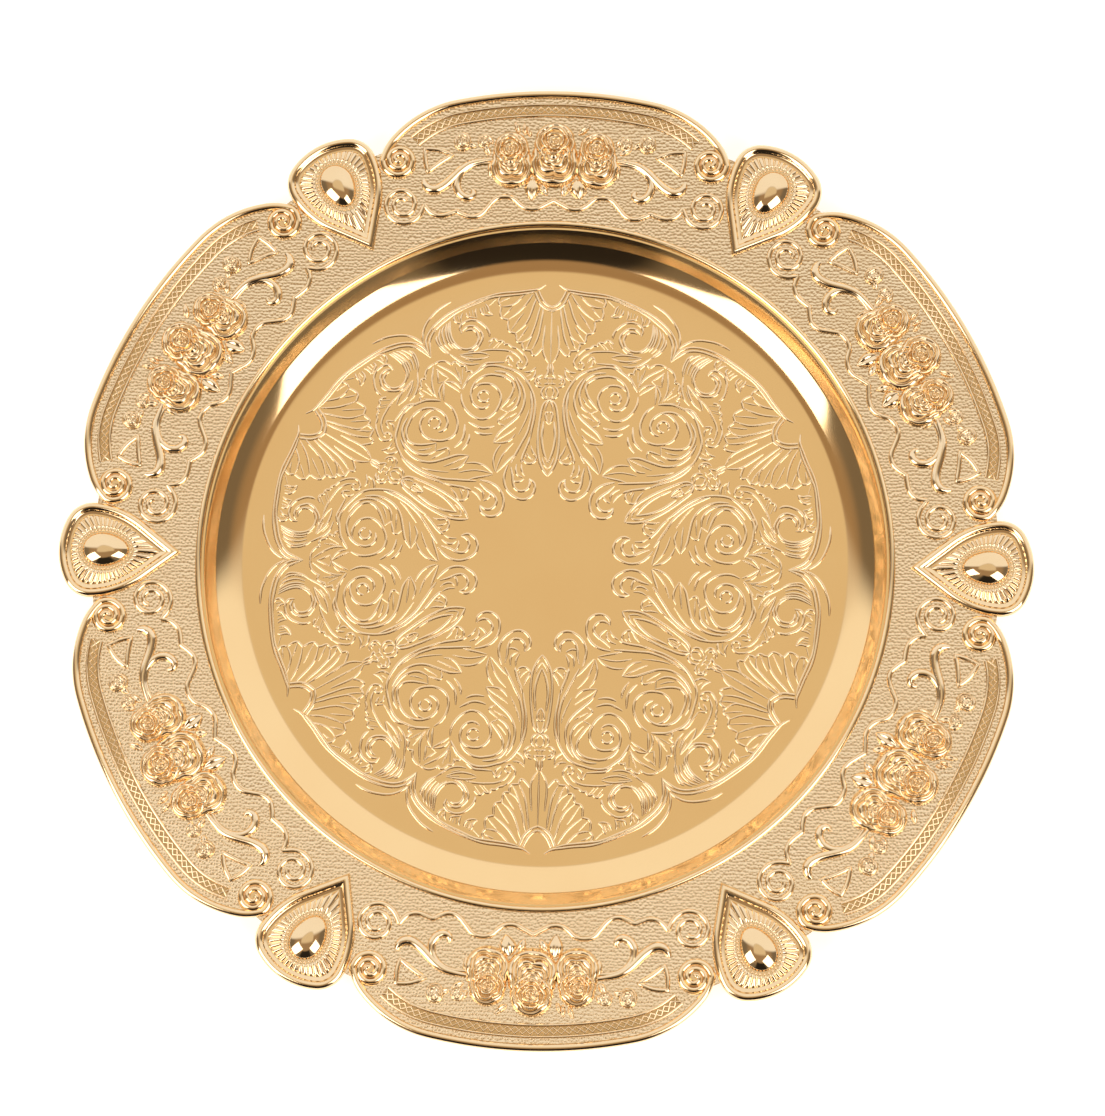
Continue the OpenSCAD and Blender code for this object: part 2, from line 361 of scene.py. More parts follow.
class Section(Enum):
    """Cross-sections that a wire is drawn with, as (across, up) for a half width of 1."""

    ROUND = "round"
    HALF_ROUND = "half round"
    RIDGE = "low ridge"

    def outline(self) -> list[Place]:
        """The section's outline, anticlockwise.

        Returns:
            Points as (across, up).
        """
        if self is Section.ROUND:
            return [(math.cos(a), math.sin(a)) for a in turns(0, 1, 16)[:-1]]
        if self is Section.RIDGE:
            return [(1.0, -0.12), (0.94, 0.22), (0.72, 0.5), (0.3, 0.6), (-0.3, 0.6),
                    (-0.72, 0.5), (-0.94, 0.22), (-1.0, -0.12)]
        arch = [(math.cos(a), math.sin(a)) for a in turns(0, 0.5, 6)]
        return [(1.0, -0.12)] + arch + [(-1.0, -0.12)]


def turns(start: float, stop: float, steps: int) -> list[float]:
    """Evenly spaced angles in radians between two fractions of a full turn."""
    return [math.tau * (start + (stop - start) * i / steps) for i in range(steps + 1)]


def around(centre: Place, r: float, start: float, stop: float, steps: int) -> list[Place]:
    """Points on an arc.

    Args:
        centre: its centre.
        r: its radius.
        start: the first angle in degrees.
        stop: the last angle in degrees.
        steps: how many equal steps there are between them.

    Returns:
        The points in order.
    """
    return [(centre[0] + r * math.cos(a), centre[1] + r * math.sin(a))
            for a in turns(start / 360, stop / 360, steps)]


@dataclass
class Wire:
    """One drawn wire: points of (x, y, half width, lift), smooth unless a point is a corner."""

    points: list[tuple[float, ...]]
    half_width: float = 0.5
    corners: tuple[int, ...] = ()
    closed: bool = False
    pointed: bool = False       # narrows to half its width at both ends


def draw_wires(name: str, tray: Tray, ground: Ground, section: Section, wires: Sequence[Wire],
               steps: int = 4) -> bpy.types.Object:
    """Draws wires as curves that lie on a surface and turns them into one mesh.

    Args:
        name: the mesh object's name.
        tray: gives the surface's height.
        ground: the surface that the wires lie on.
        section: their cross-section.
        wires: the wires.
        steps: faces between two points along a wire.

    Returns:
        The mesh object.
    """
    deselect()
    bpy.ops.curve.primitive_bezier_circle_add()
    cutter = bpy.context.object
    cutter.data.dimensions = "2D"
    cutter.data.splines.clear()
    outline = section.outline()
    edge = cutter.data.splines.new("POLY")
    edge.points.add(len(outline) - 1)
    edge.use_cyclic_u = True
    for point, (across, up) in zip(edge.points, outline):
        point.co = (across * MM, up * MM, 0, 1)

    bpy.ops.curve.primitive_bezier_curve_add()
    drawn = bpy.context.object
    drawn.name = name
    drawn.location = (0, 0, 0)
    curve = drawn.data
    curve.splines.clear()
    curve.dimensions = "3D"
    curve.twist_mode = "Z_UP"
    curve.resolution_u = steps
    curve.bevel_mode = "OBJECT"
    curve.bevel_object = cutter
    curve.use_fill_caps = True
    for wire in wires:
        add_spline(curve, tray, ground, wire)
    make_active(drawn)
    bpy.ops.object.convert(target="MESH")
    bpy.data.objects.remove(cutter)
    weld_active()
    smooth_active(50)
    return bpy.context.object


def add_spline(curve: bpy.types.Curve, tray: Tray, ground: Ground, wire: Wire) -> None:
    """Adds one wire's Bezier spline to a curve.

    Args:
        curve: the curve.
        tray: gives the surface's height.
        ground: the surface that the wire lies on.
        wire: the wire.
    """
    spline = curve.splines.new("BEZIER")
    spline.bezier_points.add(len(wire.points) - 1)
    spline.use_cyclic_u = wire.closed
    last = len(wire.points) - 1
    for index, (point, knot) in enumerate(zip(wire.points, spline.bezier_points)):
        x, y = point[:2]
        half = point[2] if len(point) > 2 else wire.half_width
        lift = point[3] if len(point) > 3 else 0.0
        if wire.pointed and index in (0, last):
            half *= 0.5
        knot.co = Vector((x, y, ground_z(tray, ground, x, y) + lift)) * MM
        knot.radius = half
        kind = "VECTOR" if index in wire.corners else "AUTO"
        knot.handle_left_type = kind
        knot.handle_right_type = kind


def mirrored(wires: Sequence[Wire]) -> list[Wire]:
    """The same wires and their mirror images across the lobe's axis.

    Args:
        wires: wires on one side of the axis +Y.

    Returns:
        The wires with their mirror images.
    """
    images = [Wire([(-p[0], *p[1:]) for p in w.points], w.half_width, w.corners, w.closed,
                   w.pointed) for w in wires]
    return [*wires, *images]


def hand_over(piece: bpy.types.Object, node: str | None) -> None:
    """Sets a piece on the tray's body.

    Args:
        piece: the piece.
        node: the CAD node that it replaces, if any.
    """
    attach(piece, BODY)
    if node:
        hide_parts(node)


def dress(piece: bpy.types.Object, finish: bpy.types.Material, copies: int) -> None:
    """Gives a finished mesh its material and logs its size.

    Args:
        piece: the mesh.
        finish: its material.
        copies: how many of it the tray has.
    """
    piece.data.materials.clear()
    piece.data.materials.append(finish)
    triangles = sum(len(p.vertices) - 2 for p in piece.data.polygons)
    log.info("%s: %d of %d triangles", piece.name, copies, triangles)


@dataclass
class Copies:
    """Puts copies of a finished master round the tray and hands each to the frame."""

    slot: str
    finish: bpy.types.Material

    def place(self, master: bpy.types.Object, name: str, node: str | None,
              offset: float) -> None:
        """Makes the six copies of a piece and removes the master.

        Args:
            master: the piece as made for the axis +Y.
            name: the copies' name before their number.
            node: the name, before its number, of the CAD nodes that they replace, if any.
            offset: the first copy's angle from +Y, in turns of a lobe.
        """
        dress(master, self.finish, LOBES)
        for number in range(1, LOBES + 1):
            angle = LOBE_STEP * (number - 1 + offset)
            piece = turned_copy(master, f"{name}_{number}", Matrix.Rotation(angle, 4, "Z"))
            hand_over(piece, f"{node}_{number}" if node else None)
        bpy.data.objects.remove(master)


def place_single(piece: bpy.types.Object, finish: bpy.types.Material,
                 node: str | None = None) -> None:
    """Dresses a piece of which there is one and hands it to the frame.

    Args:
        piece: the finished mesh.
        finish: its material.
        node: the CAD node that it replaces, if any.
    """
    dress(piece, finish, 1)
    hand_over(piece, node)


# ---------------------------------------------------------------- pan


@dataclass
class PanShell:
    """The spun pan: a flat floor, a cove, a steep wall and a flange under the border."""

    tray: Tray
    floor_r: float = 101.0
    crease_r: float = 112.4
    cove_angle: float = 45.0
    lap_gap: float = 0.02       # clearance under the border's sheet
    floor_rings: tuple[float, ...] = (0, 40, 80, 98)
    cove_steps: int = 14
    around: int = 256

    def profile(self) -> list[Place]:
        """The top surface's profile as (radius, height), from the centre outwards.

        Returns:
            Its points, from the centre outwards.
        """
        t = self.tray
        angle = math.radians(self.cove_angle)
        r = (self.crease_r - self.floor_r) / math.sin(angle)
        cove = [(self.floor_r + r * math.sin(angle * i / self.cove_steps),
                 t.floor_z + r * (1 - math.cos(angle * i / self.cove_steps)))
                for i in range(self.cove_steps + 1)]
        top_r = t.mouth_r - 1
        top_z = t.mouth_z - t.sheet
        foot_r, foot_z = cove[-1]
        wall = [(foot_r + (top_r - foot_r) * f, foot_z + (top_z - foot_z) * f)
                for f in (0.05, 0.3, 0.6, 0.9)]
        flange_r = t.mouth_r + t.lap
        flange_z = t.mouth_z + t.slope * t.lap - t.sheet - self.lap_gap
        flat = [(ring, t.floor_z) for ring in self.floor_rings]
        return [*flat, *cove, *wall, (top_r, top_z - 0.05), (top_r + 0.4, top_z),
                (flange_r, flange_z)]

    def build(self) -> bpy.types.Object:
        """Spins the profile and gives the sheet its thickness.

        Returns:
            The pan's shell.
        """
        profile = self.profile()
        last = len(profile) - 1

        def place(u: float, v: float) -> tuple[float, float, float]:
            """Puts a point of the flat grid on the surface, in millimetres."""
            r, z = profile[round(v * last)]
            return r * math.cos(math.tau * u), r * math.sin(math.tau * u), z

        shell = mapped_grid("pan_shell", self.around, last, place)
        apply_modifier(shell, "SOLIDIFY", thickness=self.tray.sheet * MM, offset=-1)
        smooth_active(30)
        return shell


@dataclass
class WellTracery:
    """Raised-line scrollwork struck in the floor: one twelfth, mirrored and turned round."""

    tray: Tray
    line: float = 0.50          # half width of a main line
    rib: float = 0.42           # half width of a leaf's or shell's rib
    vein: float = 0.34          # half width of a fine line

    def lines(self, half_width: float, strokes: Sequence[Stroke]) -> list[Wire]:
        """Wires of one width with narrowed ends, from their control points."""
        return [Wire(stroke, half_width, pointed=True) for stroke in strokes]

    def edge_lines(self) -> list[Wire]:
        """The double line round the pattern's edge, and the outer arc beside each cusp.

        Returns:
            The wires.
        """
        return self.lines(self.line, [
            [(2.4, 98.7), (5, 97.1), (8, 96.6), (12, 96), (18, 95.4), (23.9, 93.6), (29.8, 91.1),
             (34.8, 88.5), (38.6, 85.6), (41.8, 82), (43.4, 78), (43.2, 75.6), (42, 72.8)],
            [(6.2, 96.2), (10, 95.3), (14, 94.8), (18, 94.3), (20.9, 93.9), (26.8, 91.4),
             (32.7, 88.6), (36.2, 86), (40.4, 81.9), (42.1, 78.1), (42.1, 76), (41.6, 72)],
            [(35.3, 92), (37.4, 90.8), (39.6, 89.2), (41.6, 87), (43.4, 84.4), (44.4, 81.8),
             (44.6, 79), (44.3, 76.8)],
        ])

    def shell(self) -> list[Wire]:
        """The fan-shaped shell: its bay, ribs, scalloped edge and the veins between ribs.

        Returns:
            The wires.
        """
        bay: list[Stroke] = [
            [(4.8, 96.4), (4, 94.6), (3, 92.9), (1.6, 91.5), (0, 90.8)],
            [(6, 95.8), (5.3, 94.2), (4.6, 92.6), (3.4, 91.2), (2, 90.2), (0, 89.4)],
        ]
        ribs: list[Stroke] = [
            [(0, 88.8), (0, 80), (0, 71)],
            [(2.2, 84.2), (2.5, 81), (2.8, 76.5), (2.6, 74.6), (1.9, 72.8), (0.6, 70.8)],
            [(3, 90.2), (3.3, 87.5), (3.8, 84), (4.4, 80.6), (5.3, 78), (6.6, 75.5)],
            [(3.9, 91.4), (4.6, 88.6), (5.2, 85.7), (6.1, 82.8), (7.2, 80.1), (9.9, 78.2)],
            [(5.3, 94.2), (6.2, 91.8), (7.1, 88.8), (8.1, 86.2), (9.4, 84.1), (12.4, 81.4)],
            [(6.8, 95.2), (8.2, 92.9), (9.8, 90.7), (12, 88.5), (14.8, 86.3)],
            [(9.6, 95.2), (11, 93.7), (13, 91.8), (15.2, 90.9), (17.4, 90.7)],
        ]
        veins: list[Stroke] = [
            [(6.4, 81), (7.2, 79), (8, 77.2), (9, 75.6)], [(8.1, 83.7), (9.3, 81.9), (11.6, 78.6)],
            [(9.8, 88.5), (11.4, 86.3), (14, 82.3)], [(13.8, 90.6), (15.2, 89), (16.8, 87.3)],
            [(14.7, 93.8), (16.4, 93.2), (18, 92.2)],
        ]
        scallops: list[Stroke] = [
            [(3, 76.1), (4.3, 74.6), (5.3, 73.7), (6.1, 73.5), (6.8, 75)],
            [(6.8, 75.2), (8.2, 75.3), (9.3, 75.5), (9.9, 76.6), (9.9, 77.9)],
            [(9.9, 78.1), (11.4, 78.1), (12, 78.9), (12.1, 80.2), (12.5, 81.2)],
            [(12.5, 81.3), (13.6, 81.5), (14.6, 82), (15.1, 83.6), (15, 85.6)],
            [(15, 86), (16.2, 86.3), (17.3, 86.7), (17.9, 88.2), (17.7, 90.4)],
            [(17.8, 90.8), (18.4, 91.6), (18.6, 92.8), (18.1, 94.2)],
        ]
        return [*(Wire(stroke, self.line) for stroke in bay), *self.lines(self.rib, ribs),
                *self.lines(self.vein, veins), *(Wire(arc, self.rib) for arc in scallops)]

    def crown(self) -> list[Wire]:
        """The stem under the shell, its knot and frond, and the long lozenge.

        Returns:
            The wires.
        """
        stems: list[Stroke] = [
            [(0.5, 70.7), (0.9, 69), (0.9, 67), (1.6, 66.2), (2, 65.2)],
            [(0, 70.5), (0, 69), (0, 67)], [(0, 65.5), (1, 65.5), (2, 65.4)],
            [(0, 63.6), (1, 63.6), (2, 63.4)],
            [(2.7, 66.6), (3.8, 66.2), (4.8, 65), (5, 63.6), (4.2, 62.6), (2.6, 62.2)],
            [(2.8, 65.4), (3.8, 65.2), (4, 64), (3, 63.4)],
            [(1.6, 62.6), (2.6, 61.4), (2.8, 59.8), (2, 58.5), (0.4, 58.1)],
            [(0, 53.5), (0.9, 53.4), (1.1, 51.6), (0.7, 50.2), (0, 49.2)],
            [(0, 57.8), (0.9, 56), (1.3, 53.8)],
        ]
        sides: list[Stroke] = [
            [(0.2, 57.9), (1.6, 56.8), (2.4, 55), (2.9, 52.1), (3.3, 49), (3.6, 45.5), (3.6, 41),
             (3.4, 38.6), (3, 36.5), (2.2, 34.4), (1.2, 32.6), (0, 31)],
            [(1.8, 50.2), (2.1, 47.4), (2.3, 45), (2.2, 43), (1.8, 40.5), (1.2, 38.4), (0, 35.6)],
        ]
        fine: list[Stroke] = [
            [(0, 62.6), (1, 61.8), (1.4, 60.4), (0.9, 59), (0, 58.4)],
            [(2, 37.5), (1.6, 35.8), (0.8, 34.4), (0, 33.6)], [(0.4, 53), (0.4, 50.5)],
            [(0.8, 65), (0.7, 64)],
        ]
        return [*self.lines(self.rib, stems), *self.lines(self.line, sides),
                *self.lines(self.vein, fine)]

    def great_scroll(self) -> list[Wire]:
        """The large spiral and the long lines that sweep down from it.

        Returns:
            The wires.
        """
        return self.lines(self.line, [
            [(25, 68), (24.2, 68.9), (22.4, 70.3), (20, 70.6), (16, 70.9)],
            [(30.4, 61), (29.4, 63), (27.8, 65.4), (25.4, 67.4), (22.6, 69.2), (19, 69.6),
             (14.8, 68.7), (12.2, 67.9), (10, 66.6), (8, 64.2), (6.2, 61), (5.1, 57.5), (4.9, 54),
             (5.2, 50.5), (5.8, 47.5), (6.2, 44)],
            [(6.6, 61), (6.2, 58), (6, 55), (6.1, 52), (6.6, 49), (7.4, 46), (9, 42.8),
             (10.3, 40.2), (11.4, 38.1), (12.7, 35.5)],
            [(11.6, 65.6), (10, 63.2), (8.9, 60.4), (8.6, 57.6), (9.1, 54.8), (10.6, 52),
             (12.8, 49.8), (15, 47.9), (17.2, 45.8), (18.9, 42.6)],
            [(19.3, 67.6), (17, 67.5), (14.6, 66.8), (12.6, 65.3), (11.2, 63), (10.4, 60),
             (10.6, 57.3), (11.8, 55), (14.3, 53.2)],
            [(14.3, 53.2), (16.9, 54.5)],
            [(16.9, 54.5), (14.8, 57), (13.2, 59.4), (12.5, 61.8), (13, 63.8), (15, 65.4),
             (18, 66.2), (21.5, 66.3), (24.4, 65), (26.3, 62.8), (27.2, 60), (27, 57.6),
             (25.8, 55.5), (23.6, 54.4), (21.8, 54.8), (20.6, 55.8)],
            [(30.6, 59.4), (30.2, 56.4), (28.4, 53.4), (25.8, 51.3), (22.8, 50.6), (19.8, 52),
             (17.6, 55), (16.8, 58.2), (17.6, 60.8), (19.8, 62.8), (22.6, 63.2), (25, 62.6),
             (26.6, 61.2)],
            around((22.7, 58.7), 1.9, 200, 520, 12),
            [(18.8, 48.3), (21, 47.6), (23.4, 47.5), (25.6, 48.4), (27.7, 49.5)],
            [(19.4, 45.6), (22, 45.3), (24, 45.6), (25.5, 46.3)],
        ])

    def acanthus(self) -> list[Wire]:
        """The leaf lobes along the inside of the great scroll, with their veins.

        Returns:
            The wires.
        """
        edges: list[Stroke] = [
            [(14.6, 53), (16, 51.7), (17.5, 49.8), (15.2, 48.4)],
            [(11.5, 45.5), (13, 43.6), (15, 42.6), (18.9, 42.4)],
            [(16.3, 41.8), (17.7, 39.8), (18.6, 37.4), (18.7, 35), (18, 32.2)],
            [(11.4, 38.4), (13.4, 36.6), (15.4, 34.3), (17.6, 32)],
        ]
        veins: list[Stroke] = [
            [(11.5, 58.6), (12.7, 56.8), (14.6, 55)], [(11.3, 53), (13, 52), (16, 50.4)],
            [(11.3, 47.9), (13.2, 46.4), (16.5, 44.2), (18.6, 42.7)],
            [(12.1, 42.4), (13.8, 40.6), (15.6, 38.2), (16.8, 35.6), (17.8, 32.4)],
            [(7, 54.2), (7.5, 52), (8.5, 49.4), (10.4, 45.4)],
        ]
        return [*self.lines(self.rib, edges), *self.lines(self.vein, veins)]

    def hook(self) -> list[Wire]:
        """The curl that ends each sweep near the middle, with the small bract above it.

        Returns:
            The wires.
        """
        curls: list[Stroke] = [
            [(6.5, 44.6), (6.9, 42.6), (7.7, 40.5), (8.5, 38.4), (9, 36.3), (9.1, 35.5)],
            [(13.7, 34.7), (14.6, 32), (14.9, 29.4), (14.4, 27.2), (13.2, 25.2), (11.2, 23.6),
             (8.8, 22.7), (6.6, 23.1), (4.9, 24.6), (4.2, 26.6), (4.6, 28.6), (6.2, 30)],
            [(6.2, 29.8), (6, 28), (6.8, 26.4), (8.6, 25.6), (10.6, 26.1), (11.7, 28.2),
             (12, 31), (12.7, 34)],
        ]
        bract: list[Stroke] = [
            [(9, 35), (8.9, 33), (7.8, 30.8)], [(10.7, 35), (10.9, 33), (10.2, 31.2), (8.6, 30.4)],
            [(8.1, 29.8), (9.4, 29.1), (11, 28.9), (11.8, 29.4)],
            [(6, 41.6), (5.2, 39.4), (4, 37.2), (4.4, 36.2), (6, 35.3), (7.6, 35.6), (8.6, 36.6)],
        ]
        veins: list[Stroke] = [
            [(7.4, 39), (6.4, 37.6), (5, 36.6)], [(7.8, 38.4), (7.7, 37.6), (7.6, 36.8)],
        ]
        return [*self.lines(self.line, curls), *self.lines(self.rib, bract),
                *self.lines(self.vein, veins)]

    def curled_stem(self) -> list[Wire]:
        """The curled stem between shell and scroll, its fringe and its leaflets.

        Returns:
            The wires.
        """
        stems: list[Stroke] = [
            [(25, 74.4), (22, 75.1), (17, 75.2), (14, 74.8), (11.6, 73.5), (10.2, 71.8)],
            [(12, 76), (10.3, 74.8), (8.8, 73), (8.1, 71.2), (8.7, 69.7), (10.2, 68.7),
             (11.4, 69.6), (11.2, 71), (10, 71.3), (9.6, 70.3)],
            [(5, 69.3), (6.1, 68.2), (7.4, 67.6), (9, 67.6)],
            [(5.1, 68.4), (5.5, 66.1), (6.9, 64.8), (7.9, 64.3)],
        ]
        fringe = [(12, 76), (13.6, 76.4), (14.8, 77.3), (16, 77.2), (16.8, 78.4), (18.4, 78.2),
                  (19.6, 79.2), (21, 78.6), (21.6, 77.8)]
        leaflets: list[Stroke] = [
            [(12.8, 71), (13.4, 72.2), (14.6, 73.1), (15.2, 72.2), (15.8, 71.1)],
            [(13, 69.4), (14.5, 70.5), (14.6, 72)],
        ]
        veins: list[Stroke] = [
            [(16.8, 78.2), (18.8, 76)], [(18, 78), (20, 75.8)], [(19.6, 79), (21.6, 76.2)],
            [(6.6, 66.8), (8.2, 66)],
        ]
        return [*self.lines(self.rib, stems), Wire(fringe, self.rib, (3, 5)),
                *self.lines(self.rib, leaflets), *self.lines(self.vein, veins)]

    def crescent(self) -> list[Wire]:
        """The open C-shaped scroll under the edge line and the reeds beside it.

        Returns:
            The wires.
        """
        arcs: list[Stroke] = [
            [(31.1, 80.8), (31.8, 82.8), (30.9, 84.5), (29.2, 85.4), (27.7, 85.7), (25.6, 85.3),
             (23.9, 84.2), (22.4, 82.8), (21.5, 81), (21.4, 79.8)],
            [(30.9, 81.6), (30.1, 82.8), (28.6, 83.5), (26.8, 83.4), (25.1, 82.2), (24, 80.7),
             (23.9, 78.9), (24.5, 77.5), (25.4, 76), (26.8, 74.8), (28.6, 74.4)],
            [(29.8, 81.7), (28.3, 82.3), (26.5, 81.9), (25.5, 80.4), (25.2, 78.9), (25.6, 77.5),
             (26.8, 76.1), (28.3, 75.4), (30.4, 75.3), (32.1, 76), (33.6, 77.5), (34.6, 79.2),
             (35.1, 81), (35.3, 85)],
        ]
        reeds: list[Stroke] = [
            [(31.2, 74.8), (33.3, 76), (34.8, 77.8), (35.6, 79.8), (35.9, 82.2), (35.8, 84.5)],
            [(33.9, 75.4), (35.6, 77.5), (36.5, 79.8), (36.7, 82.2), (36.4, 84.2)],
            [(34.8, 74.8), (36.8, 76.9), (37.7, 79.2), (37.9, 81.6), (37.3, 83.4)],
            [(35.4, 73.9), (37.4, 75.7), (38.9, 78.1), (39, 80.4), (38.6, 82.2)],
            [(34.5, 73.1), (36.8, 74.2), (38.6, 76), (39.9, 78.4), (39.8, 79.8)],
        ]
        return [*self.lines(self.line, arcs), *self.lines(self.rib, reeds)]

    def sprigs(self) -> list[Wire]:
        """The tufts under the edge line and the slim leaves under the C-scroll.

        Returns:
            The wires.
        """
        tufts: list[Stroke] = [
            [(20.5, 87.8), (21.8, 88.8), (22.4, 90.6), (23.2, 91.5)],
            [(20.5, 87.6), (22.6, 87.5), (24.4, 88.4), (25, 90)],
            [(22.6, 88.6), (23.4, 90.6)], [(23.6, 88.4), (24.2, 90.4)],
            [(26, 86.5), (26.6, 88.4), (26.4, 89.8)],
            [(26, 86.5), (27.8, 86.6), (29.4, 87), (29.8, 88.2)],
            [(27.4, 87.2), (27.6, 89.2)], [(28.4, 87.2), (28.8, 88.8)],
            [(31.2, 84.4), (31.6, 86.4), (31, 88)],
            [(31.2, 84.4), (32.8, 84.6), (34, 86), (33.4, 87.6)],
            [(32.2, 85.4), (32.8, 87.2)], [(19.6, 93.2), (21.8, 91)],
        ]
        leaves: list[Stroke] = [
            [(21.2, 73.3), (24, 74), (28, 73.8), (31.6, 73.2)],
            [(21.4, 72.8), (24.4, 71.9), (27.6, 71.8), (31.4, 72.9)],
            [(24.8, 70.2), (27.6, 69.8), (30.4, 70.4), (33, 72), (35, 73.4)],
            [(27, 73), (31, 73)], [(26.8, 71), (29.8, 71.6)],
        ]
        return [*self.lines(self.rib, tufts), *self.lines(self.rib, leaves)]

    def palmette(self) -> list[Wire]:
        """The feathered palmette on the line between two sweeps.

        Returns:
            The wires.
        """
        crest = [(26.8, 67), (27.6, 67.6), (29, 67.3), (29.1, 68.4), (29.8, 69.4), (31, 69.2),
                 (32, 70.2), (33.4, 70.7), (34.3, 69.6), (35.6, 70.5), (37.2, 70.9), (39, 70.6),
                 (40.2, 69.9)]
        blades: list[Stroke] = [
            [(26.8, 67), (28, 65), (29.2, 63), (30.2, 61)],
            [(27.9, 66.4), (29, 64.4)], [(30.4, 68.3), (30.4, 64.4)], [(31.8, 67.2), (30.7, 63.3)],
            [(32.9, 68.9), (31.2, 64.4)],
            [(30.6, 62.6), (32, 65), (34, 66.8), (36.5, 68.2), (39.2, 69.5)],
            [(35.2, 65), (37, 66.2), (39.4, 68)], [(35.2, 65), (36.7, 63.6)],
            [(30.8, 61.2), (32, 62.6), (34, 63.5), (36.4, 63.6)],
            [(31, 60), (32.6, 61.2), (34.6, 62.4), (36.4, 63.4)],
        ]
        return [Wire(crest, self.rib, (2, 5, 8)), *self.lines(self.rib, blades)]

    def build(self) -> list[bpy.types.Object]:
        """Strikes the pattern: draws a twelfth, adds its mirror image and turns it round.

        Returns:
            The pieces, in the order made.
        """
        groups = {
            "floor_shells": self.edge_lines() + self.shell(),
            "floor_stems": self.crown() + self.hook() + self.curled_stem(),
            "floor_scrolls": self.great_scroll() + self.acanthus(),
            "floor_sprays": self.crescent() + self.sprigs() + self.palmette(),
        }
        made = []
        for name, wires in groups.items():
            master = draw_wires(name, self.tray, Ground.FLOOR, Section.RIDGE, mirrored(wires), 3)
            turned = [turned_copy(master, f"{name}_part", Matrix.Rotation(LOBE_STEP * n, 4, "Z"))
                      for n in range(1, LOBES)]
            made.append(join(name, [master, *turned]))
        return made


# ---------------------------------------------------------------- outlines


def off_axis(r: float, degrees: float) -> Vector:
    """The point at a distance from the tray's centre, at an angle from +Y towards +X."""
    a = math.radians(degrees)
    return Vector((r * math.sin(a), r * math.cos(a)))


def whole_edge(half: Sequence[Place]) -> list[Place]:
    """Both sides of an outline, from its right half that ends on the axis."""
    return [*half, *((-x, y) for x, y in reversed(half[:-1]))]


def evenly(points: Sequence[Place], count: int) -> list[Place]:
    """Points at even distances along a polyline.

    Args:
        points: the polyline.
        count: how many equal steps to take along it.

    Returns:
        The count + 1 points.
    """
    lengths = [0.0]
    for a, b in zip(points, points[1:]):
        lengths.append(lengths[-1] + math.dist(a, b))
    spaced = []
    leg = 0
    for i in range(count + 1):
        goal = lengths[-1] * i / count
        while leg < len(points) - 2 and lengths[leg + 1] < goal:
            leg += 1
        f = (goal - lengths[leg]) / (lengths[leg + 1] - lengths[leg])
        a, b = points[leg], points[leg + 1]
        spaced.append((a[0] + (b[0] - a[0]) * f, a[1] + (b[1] - a[1]) * f))
    return spaced


def ray_reach(start: Place, toward: Place, edge: Sequence[Place]) -> float:
    """Distance from a point, in a direction, to the farthest crossing with a polyline.

    Args:
        start: where the ray starts.
        toward: its direction, one unit long.
        edge: the polyline.

    Returns:
        The distance, or 0 where the ray misses.
    """
    best = 0.0
    for (ax, ay), (bx, by) in zip(edge, edge[1:]):
        a = (ax - start[0]) * toward[1] - (ay - start[1]) * toward[0]
        b = (bx - start[0]) * toward[1] - (by - start[1]) * toward[0]
        if a * b <= 0 and a != b:
            f = a / (a - b)
            x, y = ax + (bx - ax) * f - start[0], ay + (by - ay) * f - start[1]
            best = max(best, x * toward[0] + y * toward[1])
    return best


@dataclass
class LobeOutline:
    """A lobe's outline: an arc about the tray's centre, a falling shoulder, a tight corner."""

    arc_r: float = 164.4
    arc_reach: float = 12.0
    shoulder_r: float = 40.0
    shoulder_reach: float = 50.0
    corner_r: float = 20.0
    corner_reach: float = 78.0

    def edge(self, inset: float, reach: float) -> list[Place]:
        """Points along the outline, from one end to the other.

        Args:
            inset: how far inside the outline they run.
            reach: the direction that the outline faces at its ends, in degrees from +Y.

        Returns:
            The points, from the +X end to the -X end.
        """
        shoulder = off_axis(self.arc_r - self.shoulder_r, self.arc_reach)
        corner = shoulder + off_axis(self.shoulder_r - self.corner_r, self.shoulder_reach)
        stop = min(reach, self.shoulder_reach)
        half = []
        if reach > self.shoulder_reach:
            half += around(tuple(corner), self.corner_r - inset, 90 - reach, 90 - stop, 8)[:-1]
        half += around(tuple(shoulder), self.shoulder_r - inset, 90 - stop,
                       90 - self.arc_reach, 10)[:-1]
        half += around((0, 0), self.arc_r - inset, 90 - self.arc_reach, 90, 8)
        return whole_edge(half)


@dataclass
class DropOutline:
    """A teardrop on the axis +Y: a broad top, round corners, bowed sides and a point."""

    top_y: float = 165.0
    top_r: float = 24.0
    corner_r: float = 9.5
    side_r: float = 30.0
    top_from: float = 62.0      # directions in degrees where the arcs meet
    side_from: float = -3.0
    tip_from: float = -38.0

    def edge(self, inset: float) -> list[Place]:
        """Points round the outline, from the tip by the +X side and back to the tip.

        Args:
            inset: how far inside the outline the line runs.

        Returns:
            Points round the medallion.
        """
        top = Vector((0, self.top_y - self.top_r))
        corner = top + off_axis(self.top_r - self.corner_r, 90 - self.top_from)
        side = corner - off_axis(self.side_r - self.corner_r, 90 - self.side_from)
        facing = off_axis(1, 90 - self.tip_from)
        tip = (0.0, (side.dot(facing) + self.side_r - inset) / facing.y)
        half = [tip]
        half += around(tuple(side), self.side_r - inset, self.tip_from, self.side_from, 12)[:-1]
        half += around(tuple(corner), self.corner_r - inset, self.side_from, self.top_from,
                       14)[:-1]
        half += around(tuple(top), self.top_r - inset, self.top_from, 90, 10)
        return whole_edge(half)


# ---------------------------------------------------------------- border


